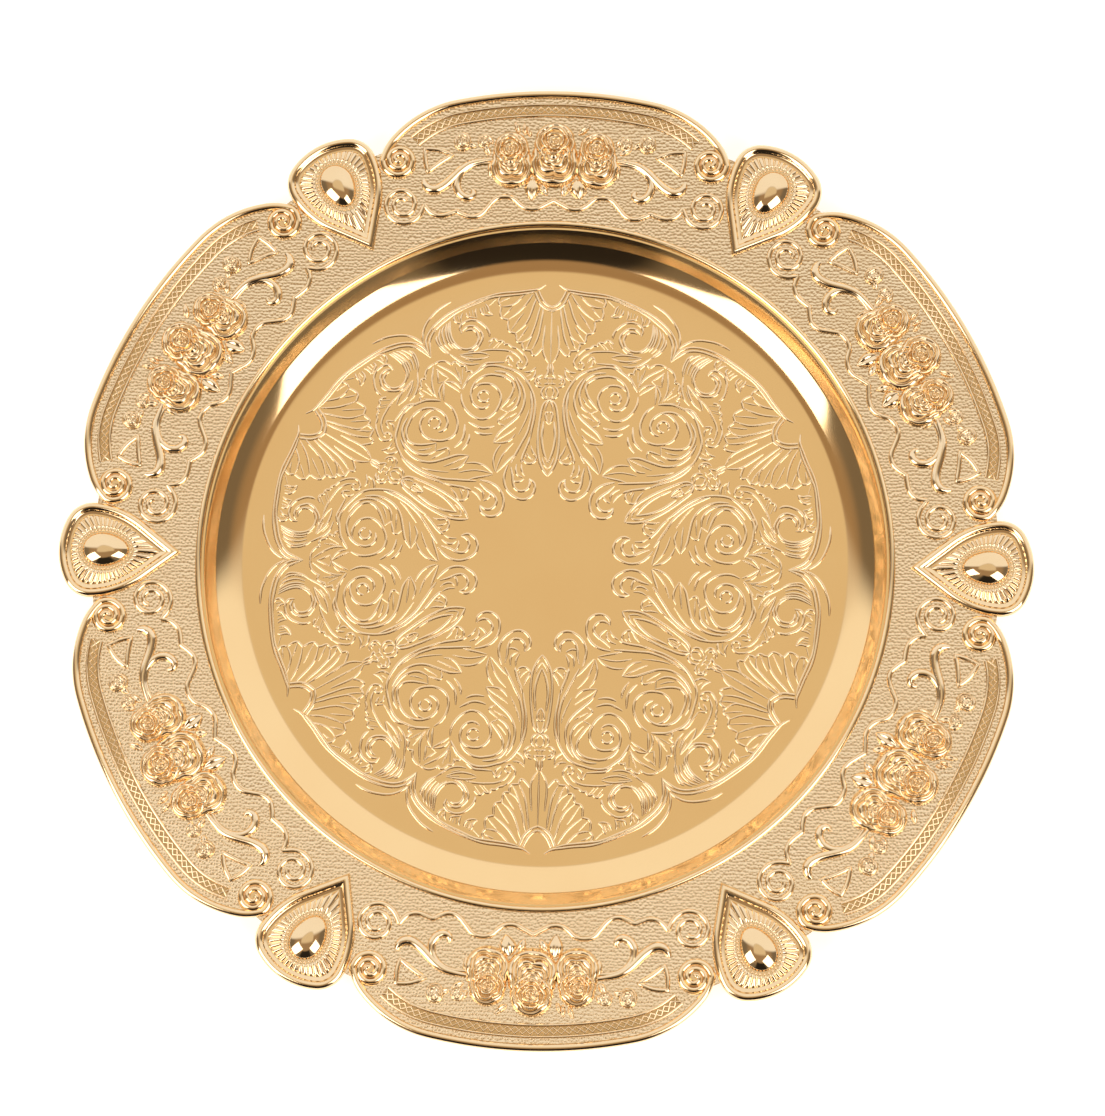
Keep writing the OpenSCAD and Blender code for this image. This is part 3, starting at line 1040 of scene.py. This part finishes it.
@dataclass
class BorderSheet:
    """The border's sheet with its struck ground, its outline and the bead at its mouth."""

    tray: Tray
    lobe: LobeOutline
    drop: DropOutline
    web_r: float = 153.5
    edge_inset: float = 2.4
    drop_inset: float = 1.2
    bead_r: float = 1.05
    around: int = 1080
    rings: int = 6

    def reach(self, angle: float, lobe: Sequence[Place], drop: Sequence[Place]) -> float:
        """Distance from the tray's centre to the sheet's edge in one direction.

        Args:
            angle: the direction, in radians from +X.
            lobe: the sheet's outline at a lobe.
            drop: its outline at a medallion.

        Returns:
            The largest reach of the web, the lobe and the medallion.
        """
        turn = (angle - math.pi / 2 + LOBE_STEP / 2) % LOBE_STEP - LOBE_STEP / 2
        beside = abs(turn) - LOBE_STEP / 2
        return max(
            self.web_r,
            ray_reach((0, 0), (math.sin(turn), math.cos(turn)), lobe),
            ray_reach((0, 0), (math.sin(beside), math.cos(beside)), drop),
        )

    def build(self) -> bpy.types.Object:
        """Lays the sheet from mouth to outline and thickens it.

        Returns:
            The border's sheet.
        """
        tray = self.tray
        lobe = self.lobe.edge(self.edge_inset, self.lobe.corner_reach)
        drop = self.drop.edge(self.drop_inset)
        reaches: dict[int, float] = {}

        def place(u: float, v: float) -> tuple[float, float, float]:
            """Puts a point of the flat grid on the surface, in millimetres.

            Args:
                u: how far along the flat grid the point is, from 0 to 1.
                v: how far across it.

            Returns:
                The point, in millimetres.
            """
            step = round(u * self.around) % self.around
            angle = math.tau * step / self.around
            if step not in reaches:
                reaches[step] = self.reach(angle, lobe, drop)
            r = tray.mouth_r + (reaches[step] - tray.mouth_r) * v
            x, y = r * math.cos(angle), r * math.sin(angle)
            return x, y, tray.border_z(x, y)

        sheet = mapped_grid("border_sheet", self.around, self.rings, place)
        apply_modifier(sheet, "SOLIDIFY", thickness=tray.sheet * MM, offset=-1)
        smooth_active(30)
        return sheet

    def mouth_bead(self) -> bpy.types.Object:
        """The smooth bead round the mouth of the well.

        Returns:
            The bead.
        """
        deselect()
        bpy.ops.mesh.primitive_torus_add(
            major_segments=288, minor_segments=20, major_radius=(self.tray.mouth_r + 0.75) * MM,
            minor_radius=self.bead_r * MM, location=(0, 0, self.tray.mouth_z * MM))
        bead = bpy.context.object
        bead.name = "mouth_bead"
        bead.data.transform(bead.matrix_world)
        bead.matrix_world = Matrix.Identity(4)
        bpy.ops.object.shade_smooth()
        return bead


# ---------------------------------------------------------------- lobes


@dataclass
class LobeOrnament:
    """Everything that lies on one lobe: rolled edge, gallery strip, roses, stems and wires."""

    tray: Tray
    outline: LobeOutline
    rod_r: float = 1.35
    groove: float = 2.2
    strip: float = 3.8
    strip_reach: float = 43.0
    volute: Place = (53.8, 138.8)
    volute_r: float = 5.6
    winding_start: float = -6.0         # degrees
    winding_turn: float = 830.0
    winding_steps: int = 26
    volute_height: float = 1.3
    lattice_cells: int = 40

    def winding(self, side: int) -> Stroke:
        """The rod's end, wound into a volute.

        Args:
            side: 1 for the right-hand end, -1 for the left-hand one.

        Returns:
            The control points, from the outline inwards.
        """
        steps = self.winding_steps
        spiral: Stroke = []
        for i in range(1, steps + 1):
            f = i / steps
            angle = math.radians(self.winding_start - self.winding_turn * f)
            r = self.volute_r * (1 - 0.9 * f)
            spiral.append((side * (self.volute[0] + r * math.cos(angle)),
                           self.volute[1] + r * math.sin(angle),
                           self.rod_r - 0.55 * f ** 0.7, 0.25 + 1.5 * f))
        return spiral

    def rolled_edge(self) -> bpy.types.Object:
        """The rod along the lobe's edge, with a volute wound at each end.

        Returns:
            The rod with its volutes.
        """
        rod: Stroke = [(x, y, self.rod_r, 0.15)
                       for x, y in self.outline.edge(self.rod_r, self.outline.corner_reach)]
        path = [*reversed(self.winding(1)), *rod, *self.winding(-1)]
        parts = [draw_wires("edge", self.tray, Ground.BORDER, Section.ROUND, [Wire(path)], 3)]
        for side in (1, -1):
            parts.append(self.dome((side * self.volute[0], self.volute[1]), self.volute_r,
                                   self.volute_height))
        return join("rolled_edge", parts)

    def dome(self, at: Place, r: float, height: float) -> bpy.types.Object:
        """A smooth low dome on the border.

        Args:
            at: its centre.
            r: its radius.
            height: its height.

        Returns:
            The dome.
        """
        def place(u: float, v: float) -> tuple[float, float, float]:
            """Puts a point of the flat grid on the surface, in millimetres.

            Args:
                u: how far along the flat grid the point is, from 0 to 1.
                v: how far across it.

            Returns:
                The point, in millimetres.
            """
            a = math.tau * u
            x, y = at[0] + r * v * math.cos(a), at[1] + r * v * math.sin(a)
            z = self.tray.border_z(x, y) - 0.05 + height * math.sqrt(max(0.0, 1 - v ** 2.4))
            return x, y, z

        return mapped_grid("dome", 28, 8, place)

    def gallery(self) -> tuple[bpy.types.Object, bpy.types.Object]:
        """The strip inside the rolled edge.

        Returns:
            The two thin lines with crossed zigzags between, and a sheet under them tinted darker
            as painted shade.
        """
        outer = 2 * self.rod_r + self.groove
        inner = outer + self.strip
        cells = self.lattice_cells
        steps = 60
        outside = evenly(self.outline.edge(outer, self.strip_reach), steps)
        inside = evenly(self.outline.edge(inner, self.strip_reach), steps)
        wires = [
            Wire([(x, y, 0.42, 0.2) for x, y in outside[::3]]),
            Wire([(x, y, 0.5, 0.2) for x, y in inside[::3]]),
        ]
        near = evenly(self.outline.edge(outer + 0.75, self.strip_reach), cells)
        far = evenly(self.outline.edge(inner - 0.8, self.strip_reach), cells)
        zigzags = []
        for phase in (0, 1):
            points = [(near if i % 2 == phase else far)[i] for i in range(cells + 1)]
            zigzags.append(Wire([(x, y, 0.36, 0.1) for x, y in points],
                                corners=tuple(range(cells + 1))))

        # A thin sheet just over the border under the lattice, carrying the darker tint of painted
        # shade.
        def strip(u: float, v: float) -> tuple[float, float, float]:
            """Puts a point of the flat grid on the strip, in millimetres.

            Args:
                u: how far along the flat grid the point is, from 0 to 1.
                v: how far across it.

            Returns:
                The point, in millimetres.
            """
            i = round(u * steps)
            x = outside[i][0] + (inside[i][0] - outside[i][0]) * v
            y = outside[i][1] + (inside[i][1] - outside[i][1]) * v
            return x, y, self.tray.border_z(x, y) + 0.05

        raised = join("gallery", [
            draw_wires("lines", self.tray, Ground.BORDER, Section.HALF_ROUND, wires, 3),
            draw_wires("lattice", self.tray, Ground.BORDER, Section.HALF_ROUND, zigzags, 1),
        ])
        return raised, mapped_grid("gallery_shade_sheet", steps, 6, strip)

    def stems(self) -> bpy.types.Object:
        """The scrolled stems either side of the roses.

        Returns:
            The stems.
        """
        long_stem = [(21, 140.1, 0.7), (26, 139.2, 1.1), (29.5, 138.1, 1.35), (32.5, 135.9, 1.55),
                     (35, 133.4, 1.6), (37, 131.4, 1.65), (39, 129.9, 1.7), (41, 129, 1.8),
                     (43, 129.2, 1.7), (44.6, 130.6, 1.3), (45.2, 132.2, 0.8)]
        hook = [(21.8, 138.6, 0.5), (27, 138.2, 0.8), (30, 137, 1.05), (32.4, 134.8, 1.2),
                (33.6, 131.8, 1.35), (33.1, 128.7, 1.5), (31, 126.7, 1.5), (28.8, 126.6, 1.3),
                (27.7, 128, 1.0), (28.2, 129.4, 0.6)]
        return draw_wires("stems", self.tray, Ground.BORDER, Section.HALF_ROUND,
                          mirrored([Wire(long_stem), Wire(hook)]), 5)

    def waved_wire(self) -> bpy.types.Object:
        """The waved wire between the roses and the well, with a spiral at each end.

        Returns:
            The wire.
        """
        half: Stroke = [
            (0, 126), (3, 124.4), (6, 123), (9, 123), (11.5, 124.3), (14, 126.4), (17, 127),
            (20, 126.2), (22.5, 123.5), (25, 120.7), (28, 119.6), (31, 120.4), (33.5, 121.6),
            (36, 120.6), (38.5, 119.9), (41, 120.2), (43, 121.4), (44.6, 123.4)]
        scroll: Stroke = [(44.6, 123.4)]
        steps = 22
        for i in range(1, steps + 1):
            f = i / steps
            angle = math.radians(188 + 660 * f)
            r = 7.2 - 5.2 * f ** 0.9
            scroll.append((52.3 + r * math.cos(angle), 123.4 + r * math.sin(angle)))
        wires = mirrored([Wire(half, 0.88, (0, 12, 17)), Wire(scroll, 0.88)])
        return draw_wires("waved_wire", self.tray, Ground.BORDER, Section.HALF_ROUND, wires, 4)

    def triangles(self) -> bpy.types.Object:
        """The pair of small three-sided frames.

        Returns:
            The pair.
        """
        loop = Wire([(45, 143.2), (40, 142.9), (35.5, 141.2), (39.8, 138.4), (43.8, 135.2),
                     (44.8, 139)], 0.82, (0, 2, 4), closed=True)
        return draw_wires("triangles", self.tray, Ground.BORDER, Section.HALF_ROUND,
                          mirrored([loop]), 4)

    def rose_spray(self) -> bpy.types.Object:
        """Three roses with the leaves and buds round them.

        Returns:
            The spray, as one mesh.
        """
        roses = [
            Rose(self.tray, (0, 139.2), (8.8, 9.0), (0, 141.6), 3.7, 1.2),
            Rose(self.tray, (-14.9, 137.8), (7.7, 7.9), (-14.9, 139.6), 3.3, 2.9),
            Rose(self.tray, (14.9, 137.8), (7.7, 7.9), (14.8, 139.6), 3.3, 4.2),
            Rose(self.tray, (0, 146), (7.4, 7.2), (0.2, 145.6), 4.9, 0.4),
            Rose(self.tray, (-15, 143.4), (6.5, 6.3), (-15.2, 143), 4.4, 2.1),
            Rose(self.tray, (14.7, 143.6), (6.5, 6.3), (14.5, 143.2), 4.4, 3.4),
        ]
        leaves = [
            Leaf((-7.4, 133.6), 8.0, 5.4, 268, 1.9), Leaf((7.6, 133.4), 7.5, 6.0, 282, 2.0),
            Leaf((-4.6, 131.4), 4.6, 3.0, 300, 1.4), Leaf((4.4, 131.6), 4.6, 3.0, 250, 1.4),
            Leaf((-12.4, 149.2), 4.6, 1.8, 112, 1.3), Leaf((-10.4, 148.6), 4.6, 1.7, 95, 1.3),
            Leaf((-8.4, 148), 4.0, 1.6, 110, 1.2), Leaf((8, 149), 5.4, 2.2, 40, 1.3),
            Leaf((-21.5, 145.4), 4.6, 2.4, 130, 1.3), Leaf((-22.4, 141.4), 4.8, 2.4, 120, 1.1),
            Leaf((-27.2, 144.4), 4.0, 2.2, 170, 1.1), Leaf((21.4, 144.8), 4.4, 2.2, 58, 1.3),
            Leaf((22.4, 142.2), 4.8, 2.2, 25, 1.1), Leaf((27.2, 144.6), 4.2, 2.2, 25, 1.1),
            Leaf((-21.4, 139.6), 6.2, 2.8, 262, 1.2), Leaf((21.2, 139.6), 6.2, 2.8, 278, 1.2),
        ]
        buds = [((-32, 146), 3.1), ((32, 146), 3.1), ((-24.6, 146.4), 2.3), ((24.6, 146), 2.3),
                ((9.6, 129.6), 1.8)]
        parts = [rose.build() for rose in roses]
        parts += [leaf.build(self.tray) for leaf in leaves]
        parts += [Rose(self.tray, at, (r, r * 1.1), at, r * 0.75, fine=False).build()
                  for at, r in buds]
        return join("rose_spray", parts)


@dataclass
class Rose:
    """A cabbage rose: a wound head near the border's edge over a cup of folded petals."""

    tray: Tray
    centre: Place
    radii: Place
    heart: Place
    height: float
    turn: float = 0.0           # where the first petal lies, in radians
    fine: bool = True
    lip: float = 0.17           # a petal's lip, as a share of the rose's height

    def rim(self, a: float) -> Place:
        """A point on the rose's outline, in the direction a from its middle.

        Args:
            a: the direction from the rose's middle.

        Returns:
            The point.
        """
        notch = 1 - 0.07 * math.exp(-((math.sin(a) - 0.22) / 0.16) ** 2)
        return (self.centre[0] + self.radii[0] * notch * math.cos(a),
                self.centre[1] + self.radii[1] * math.sin(a))

    @staticmethod
    def fold(v: float, low: float, high: float) -> float:
        """The section of one petal's lip: a hollow behind it, then a rounded crest.

        Args:
            v: how far out from the heart the point is.
            low: where the hollow starts.
            high: where the petal's outer edge is.

        Returns:
            The height, from -1 in the hollow to 1 on the crest.
        """
        f = (v - low) / (high - low)
        if not 0 < f < 1:
            return 0.0
        return -math.sin(math.pi * f / 0.42) if f < 0.42 else math.sin(math.pi * (f - 0.42) / 0.58)

    def petals(self, a: float, v: float) -> float:
        """How far a point stands above the rose's smooth dome, as a share of a lip's height.

        Args:
            a: its direction from the heart.
            v: how far out from the heart it is, from 0 to 1.

        Returns:
            The share, negative in the hollows.
        """
        below = 0.5 - 0.5 * math.sin(a)         # 1 towards the well, 0 towards the edge
        heart = 0.24
        inner = 0.34 + 0.13 * abs(math.cos(1.5 * (a - self.turn)))
        middle = 0.56 + 0.15 * abs(math.cos(2 * (a - self.turn) + 1.0))
        if v < heart:
            return 0.55 * math.sin(math.tau * (v / 0.16 + a / math.tau))
        if v < inner:
            return 0.8 * self.fold(v, heart, inner)
        if v < middle:
            return self.fold(v, inner, middle)
        return (0.7 + 1.6 * below ** 2) * self.fold(v, middle, 1.0) * (1.0 if v < 0.8 else 0.7)

    def build(self) -> bpy.types.Object:
        """Shapes the rose from a grid.

        Returns:
            The rose.
        """
        lip = self.lip * self.height

        def place(u: float, v: float) -> tuple[float, float, float]:
            """Puts a point of the flat grid on the surface, in millimetres.

            Args:
                u: how far along the flat grid the point is, from 0 to 1.
                v: how far across it.

            Returns:
                The point, in millimetres.
            """
            a = math.tau * u
            rim = self.rim(a)
            x = self.heart[0] + (rim[0] - self.heart[0]) * v
            y = self.heart[1] + (rim[1] - self.heart[1]) * v
            dome = (1 - v ** 3) ** 0.55
            z = self.height * 0.82 * dome + lip * self.petals(a, v) * (1 - v ** 10) - 0.05
            return x, y, self.tray.border_z(x, y) + z

        columns, rows = (72, 44) if self.fine else (32, 16)
        return mapped_grid("rose", columns, rows, place)


@dataclass
class Leaf:
    """A small pointed leaf with a creased midrib."""

    foot: Place
    length: float
    width: float
    heading: float              # degrees from +X
    height: float

    def build(self, tray: Tray) -> bpy.types.Object:
        """Shapes the leaf from a grid.

        Args:
            tray: gives the border's height.

        Returns:
            The leaf.
        """
        a = math.radians(self.heading)

        def place(u: float, v: float) -> tuple[float, float, float]:
            """Puts a point of the flat grid on the surface, in millimetres.

            Args:
                u: how far along the flat grid the point is, from 0 to 1.
                v: how far across it.

            Returns:
                The point, in millimetres.
            """
            along = self.length * u
            across = (2 * v - 1)
            half = self.width / 2 * math.sin(math.pi * u ** 0.8) ** 0.8
            side = half * across
            x = self.foot[0] + along * math.cos(a) - side * math.sin(a)
            y = self.foot[1] + along * math.sin(a) + side * math.cos(a)
            body = (1 - across ** 4) * math.sin(math.pi * min(1.0, u * 0.97 + 0.03)) ** 0.7
            crease = 0.35 * math.exp(-(across / 0.22) ** 2)
            return x, y, tray.border_z(x, y) + self.height * body * (1 - crease) - 0.05

        return mapped_grid("leaf", 12, 10, place)


# ---------------------------------------------------------------- medallions


@dataclass
class Medallion:
    """A teardrop medallion on the axis +Y: frame, fluted collar, pearls and boss."""

    tray: Tray
    outline: DropOutline
    boss_y: float = 148.7
    boss_length: float = 15.4
    boss_width: float = 11.2
    flutes: int = 40
    flute_gap: float = 1.7      # from the boss to the flutes
    flute_height: float = 0.85
    pearls: int = 38
    pearl_r: float = 0.48
    pearl_gap: float = 1.0      # from the boss to the pearls' centres
    pearl_z: float = 2.15
    frame_w: float = 4.2
    channel_z: float = 0.7
    boss_z: float = 1.8
    boss_height: float = 2.9

    def boss_reach(self, a: float) -> float:
        """Distance from the boss's centre to its egg-shaped edge in one direction."""
        width = self.boss_width * (1 + 0.12 * math.sin(a))
        return 1 / math.hypot(math.cos(a) * 2 / width, math.sin(a) * 2 / self.boss_length)

    def polar(self, a: float, distance: float, lift: float) -> tuple[float, float, float]:
        """A point at a distance from the boss's centre and a height over the border."""
        x, y = distance * math.cos(a), self.boss_y + distance * math.sin(a)
        return x, y, self.tray.border_z(x, y) + lift

    def frame(self) -> bpy.types.Object:
        """The raised frame with its flat channel inside.

        Returns:
            The frame.
        """
        steps = [(0, -0.5), (0.05, 0.5), (0.35, 1.1), (0.8, 1.55), (1.3, 1.8), (1.8, 1.8),
                 (2.3, 1.55), (2.7, 1.15), (2.95, 0.85), (3.2, self.channel_z),
                 (4.6, self.channel_z), (6.4, self.channel_z)]
        columns = 180
        rings = [evenly(self.outline.edge(inset), columns) for inset, _ in steps]

        def place(u: float, v: float) -> tuple[float, float, float]:
            """Puts a point of the flat grid on the surface, in millimetres.

            Args:
                u: how far along the flat grid the point is, from 0 to 1.
                v: how far across it.

            Returns:
                The point, in millimetres.
            """
            ring = round(v * (len(steps) - 1))
            x, y = rings[ring][round(u * columns)]
            return x, y, self.tray.border_z(x, y) + steps[ring][1]

        rim = mapped_grid("frame", columns, len(steps) - 1, place)
        smooth_active(40)
        return rim

    def collar(self) -> bpy.types.Object:
        """The cone of flutes that climbs to the boss, and the pearls round its top.

        Returns:
            The collar with its pearls.
        """
        gap = self.flute_gap
        columns = self.flutes * 8
        edge = self.outline.edge(self.frame_w)
        spans = []
        for i in range(columns + 1):
            a = math.tau * i / columns
            spans.append(ray_reach((0, self.boss_y), (math.cos(a), math.sin(a)), edge))

        def place(u: float, v: float) -> tuple[float, float, float]:
            """Puts a point of the flat grid on the surface, in millimetres.

            Args:
                u: how far along the flat grid the point is, from 0 to 1.
                v: how far across it.

            Returns:
                The point, in millimetres.
            """
            a = math.tau * u
            near = self.boss_reach(a) + gap
            far = spans[round(u * columns)]
            window = min(1.0, 7 * v, 5 * (1 - v)) if 0 < v < 1 else 0.0
            flute = abs(math.cos(math.pi * self.flutes * u)) ** 0.6 - 0.3
            lift = self.channel_z - 0.1 + 1.3 * v ** 0.8 + self.flute_height * flute * window
            return self.polar(a, far + (near - far) * v, lift)

        def ledge(u: float, v: float) -> tuple[float, float, float]:
            """Puts a point of the flat grid on the ledge, in millimetres.

            Args:
                u: how far along the flat grid the point is, from 0 to 1.
                v: how far across it.

            Returns:
                The point, in millimetres.
            """
            a = math.tau * u
            return self.polar(a, self.boss_reach(a) - 0.6 + (gap + 0.65) * v,
                              self.channel_z + 1.25)

        parts = [mapped_grid("flutes", columns, 14, place), mapped_grid("ledge", 64, 3, ledge)]
        deselect()
        bpy.ops.mesh.primitive_ico_sphere_add(subdivisions=2, radius=self.pearl_r * MM)
        bead = bpy.context.object
        bpy.ops.object.shade_smooth()
        for number in range(self.pearls):
            a = math.tau * number / self.pearls
            at = self.polar(a, self.boss_reach(a) + self.pearl_gap, self.pearl_z)
            parts.append(turned_copy(bead, "pearl", Matrix.Translation(Vector(at) * MM)))
        bpy.data.objects.remove(bead)
        return join("collar", parts)

    def boss(self) -> bpy.types.Object:
        """The smooth egg-shaped boss, narrower towards the tip.

        Returns:
            The boss.
        """
        def place(u: float, v: float) -> tuple[float, float, float]:
            """Puts a point of the flat grid on the surface, in millimetres.

            Args:
                u: how far along the flat grid the point is, from 0 to 1.
                v: how far across it.

            Returns:
                The point, in millimetres.
            """
            a = math.tau * u
            lift = self.boss_z + self.boss_height * (1 - v ** 2.3) ** 0.6
            return self.polar(a, (self.boss_reach(a) + 0.2) * v, lift)

        return mapped_grid("boss", 72, 20, place)


# ---------------------------------------------------------------- set


@dataclass
class Studio:
    """A white table in a white-walled room, two soft boxes and the camera over the tray."""

    tray: Tray
    away: tuple[float, float, float] = (0.0394, -0.1605, 0.9863)
    roll: float = 1.57
    distance: float = 0.998
    view_width: float = 373.8   # millimetres across the view at the tray's border
    aim: Place = (3.04, 0.47)   # the view's centre from the tray's, right and up, in mm
    # Directions between which one part of the room fades into the next, on the unit sphere.
    near_side: Place = (0.55, 0.90)         # height, from the walls to the lit upper part
    ceiling_edge: Place = (0.945, 0.968)    # height
    ceiling_front: Place = (-0.12, 0.02)    # distance towards +Y
    far_wall: Place = (0.19, 0.33)          # lean towards +Y
    far_wall_tilt: float = 0.109
    person_sides: Place = (0.56, 0.36)      # sideways distance as a share of that towards -Y
    person_top: Place = (0.90, 0.82)        # height
    near_colour: str = "#7C7265"
    # What is laid over it in turn; the camera itself sees only white.
    room_colours: tuple[tuple[str, str], ...] = (
        ("upper", "#A48D72"), ("person", "#2A2622"), ("ceiling", "#E3D6BE"),
        ("wall", "#FFFFFF"), ("seen", "#FFFFFF"))
    lamp_bearings: Place = (215, 318)       # azimuths of the two soft boxes, in degrees
    lamp_heights: Place = (38, 40)          # their elevations
    lamp_size: Place = (0.74, 1.5)          # in metres
    lamp_power: float = 10.5
    lamp_distance: float = 1.5

    def table(self) -> None:
        """Lays the white table top, which glows a little so that no grey shows on it."""
        deselect()
        bpy.ops.mesh.primitive_plane_add(size=6, location=(0, 0, -0.0002))
        top = bpy.context.object
        top.name = "table_top"
        paper = bpy.data.materials.new("white_paper")
        paper.use_nodes = True
        shader = paper.node_tree.nodes["Principled BSDF"]
        shader.inputs["Base Color"].default_value = linear_rgba("#F4F4F4")
        shader.inputs["Roughness"].default_value = 0.9
        shader.inputs["Emission Color"].default_value = (1, 1, 1, 1)
        shader.inputs["Emission Strength"].default_value = 0.45
        top.data.materials.append(paper)

    def room(self) -> None:
        """Paints the room: white far wall, warm ceiling, dim near side and a person in it."""
        world = bpy.data.worlds.new("room")
        bpy.context.scene.world = world
        world.use_nodes = True
        tree = world.node_tree
        tree.nodes.clear()
        ray = add_node(tree, "ShaderNodeTexCoord").outputs["Generated"]
        axes = add_node(tree, "ShaderNodeSeparateXYZ", inputs={"Vector": ray}).outputs

        maths, ramp = "ShaderNodeMath", "ShaderNodeMapRange"
        smooth = {"interpolation_type": "SMOOTHSTEP"}
        # Each step is a name, a node with its settings, and its inputs by value or by name.
        steps = [
            ("tilt", maths, {"operation": "MULTIPLY"}, {0: "Z", 1: self.far_wall_tilt}),
            ("lean", maths, {"operation": "ADD"}, {0: "Y", 1: "tilt"}),
            ("side", maths, {"operation": "ABSOLUTE"}, {0: "X"}),
            ("back", maths, {"operation": "MULTIPLY"}, {0: "Y", 1: -1.0}),
            ("depth", maths, {"operation": "MAXIMUM"}, {0: "back", 1: 0.001}),
            ("sideways", maths, {"operation": "DIVIDE"}, {0: "side", 1: "depth"}),
            *[(name, ramp, smooth, {"Value": source, "From Min": low, "From Max": high})
              for name, source, (low, high) in (
                  ("upper", "Z", self.near_side), ("overhead", "Z", self.ceiling_edge),
                  ("forward", "Y", self.ceiling_front), ("far", "lean", self.far_wall),
                  ("beside", "sideways", self.person_sides), ("below", "Z", self.person_top))],
            ("ceiling", maths, {"operation": "MULTIPLY"}, {0: "overhead", 1: "forward"}),
            ("open", maths, {"operation": "SUBTRACT"}, {0: 1.0, 1: "ceiling"}),
            ("wall", maths, {"operation": "MULTIPLY"}, {0: "far", 1: "open"}),
            ("person", maths, {"operation": "MULTIPLY"}, {0: "beside", 1: "below"}),
        ]
        made = {axis: axes[axis] for axis in "XYZ"}
        made["seen"] = add_node(tree, "ShaderNodeLightPath").outputs["Is Camera Ray"]
        for name, kind, settings, values in steps:
            inputs = {socket: made[value] if isinstance(value, str) else value
                      for socket, value in values.items()}
            made[name] = add_node(tree, kind, settings, inputs).outputs[0]
        shown: Any = linear_rgba(self.near_colour)
        for name, colour in self.room_colours:
            shown = add_node(tree, "ShaderNodeMix", {"data_type": "RGBA"}, {
                "Factor": made[name], 6: shown, 7: linear_rgba(colour)}).outputs[2]
        sky = add_node(tree, "ShaderNodeBackground", inputs={"Color": shown, "Strength": 1.0})
        add_node(tree, "ShaderNodeOutputWorld", inputs={"Surface": sky.outputs["Background"]})

    def soft_box(self, azimuth: float, elevation: float) -> None:
        """Stands a soft box that faces the tray.

        Args:
            azimuth: its direction from the tray, in degrees from +X.
            elevation: its height in degrees.
        """
        a, e = math.radians(azimuth), math.radians(elevation)
        away = Vector((math.cos(e) * math.cos(a), math.cos(e) * math.sin(a), math.sin(e)))
        deselect()
        bpy.ops.object.light_add(type="AREA", location=away * self.lamp_distance)
        lamp = bpy.context.object
        lamp.data.shape = "RECTANGLE"
        lamp.data.size, lamp.data.size_y = self.lamp_size
        lamp.data.energy = self.lamp_power
        lamp.rotation_euler = away.to_track_quat("Z", "Y").to_euler()

    def camera(self) -> None:
        """Sets the camera nearly overhead, leaning towards the -Y side."""
        deselect()
        bpy.ops.object.camera_add()
        camera = bpy.context.object
        away = Vector(self.away).normalized()
        right = Vector((0, 1, 0)).cross(away).normalized()
        up = away.cross(right)
        turn = Matrix((right, up, away)).transposed()
        turn = turn @ Matrix.Rotation(math.radians(self.roll), 3, "Z")
        centre = Vector((0, 0, self.tray.mouth_z + 2.2)) * MM
        target = centre + turn @ Vector((*self.aim, 0)) * MM
        camera.matrix_world = (Matrix.Translation(target + away * self.distance)
                               @ turn.to_4x4())
        camera.data.sensor_fit = "HORIZONTAL"
        camera.data.lens = camera.data.sensor_width * self.distance / (self.view_width * MM)
        bpy.context.scene.camera = camera

    def build(self) -> None:
        """Sets up table, room, lights, camera and the plain view transform."""
        self.table()
        self.room()
        for azimuth, elevation in zip(self.lamp_bearings, self.lamp_heights):
            self.soft_box(azimuth, elevation)
        self.camera()
        bpy.context.scene.view_settings.view_transform = "Standard"


# ---------------------------------------------------------------- the whole tray


def main() -> None:
    """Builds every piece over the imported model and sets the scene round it."""
    logging.basicConfig(level=logging.INFO, format="%(name)s: %(message)s")
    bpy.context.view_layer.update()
    tray = Tray.from_frame()
    log.info("tray %s", tray)
    polished, chased_highlight, pebbled, stamped, recess_shade, bright = (
        finish.material() for finish in (POLISHED, CHASED_HIGHLIGHT, PEBBLED, STAMPED, PAINTED_SHADE_RECESS, BRIGHT))

    place_single(PanShell(tray).build(), polished, "pan")
    # The raised lines carry a paler tint, a painted highlight.
    for lines in WellTracery(tray).build():
        place_single(lines, chased_highlight)

    lobe_outline, drop_outline = LobeOutline(), DropOutline()
    sheet = BorderSheet(tray, lobe_outline, drop_outline)
    place_single(sheet.build(), pebbled, "border")
    place_single(sheet.mouth_bead(), bright)

    lobe = LobeOrnament(tray, lobe_outline)
    relief = Copies("relief_brass", stamped)
    shine = Copies("bright_brass", bright)
    shine.place(lobe.rolled_edge(), "rolled_edge", "edge_rod", 0)
    lattice, lattice_shade_sheet = lobe.gallery()
    relief.place(lattice, "gallery_lattice", "gallery_band", 0)
    # The strip under the lattice is tinted darker: painted shade between its lines.
    Copies("relief_brass", recess_shade).place(lattice_shade_sheet, "gallery_shade_sheet", None, 0)
    relief.place(lobe.rose_spray(), "roses", "rose_spray", 0)
    relief.place(lobe.stems(), "stems", "stem_scrolls", 0)
    relief.place(lobe.waved_wire(), "wave", "waved_wire", 0)
    relief.place(lobe.triangles(), "triangles", "triangle_frames", 0)

    drop = Medallion(tray, drop_outline)
    shine.place(drop.frame(), "drop_frame", "medallion_frame", 0.5)
    relief.place(drop.collar(), "drop_flutes", "fluted_collar", 0.5)
    shine.place(drop.boss(), "drop_boss", "boss", 0.5)

    Studio(tray).build()


if __name__ == "__main__":
    main()
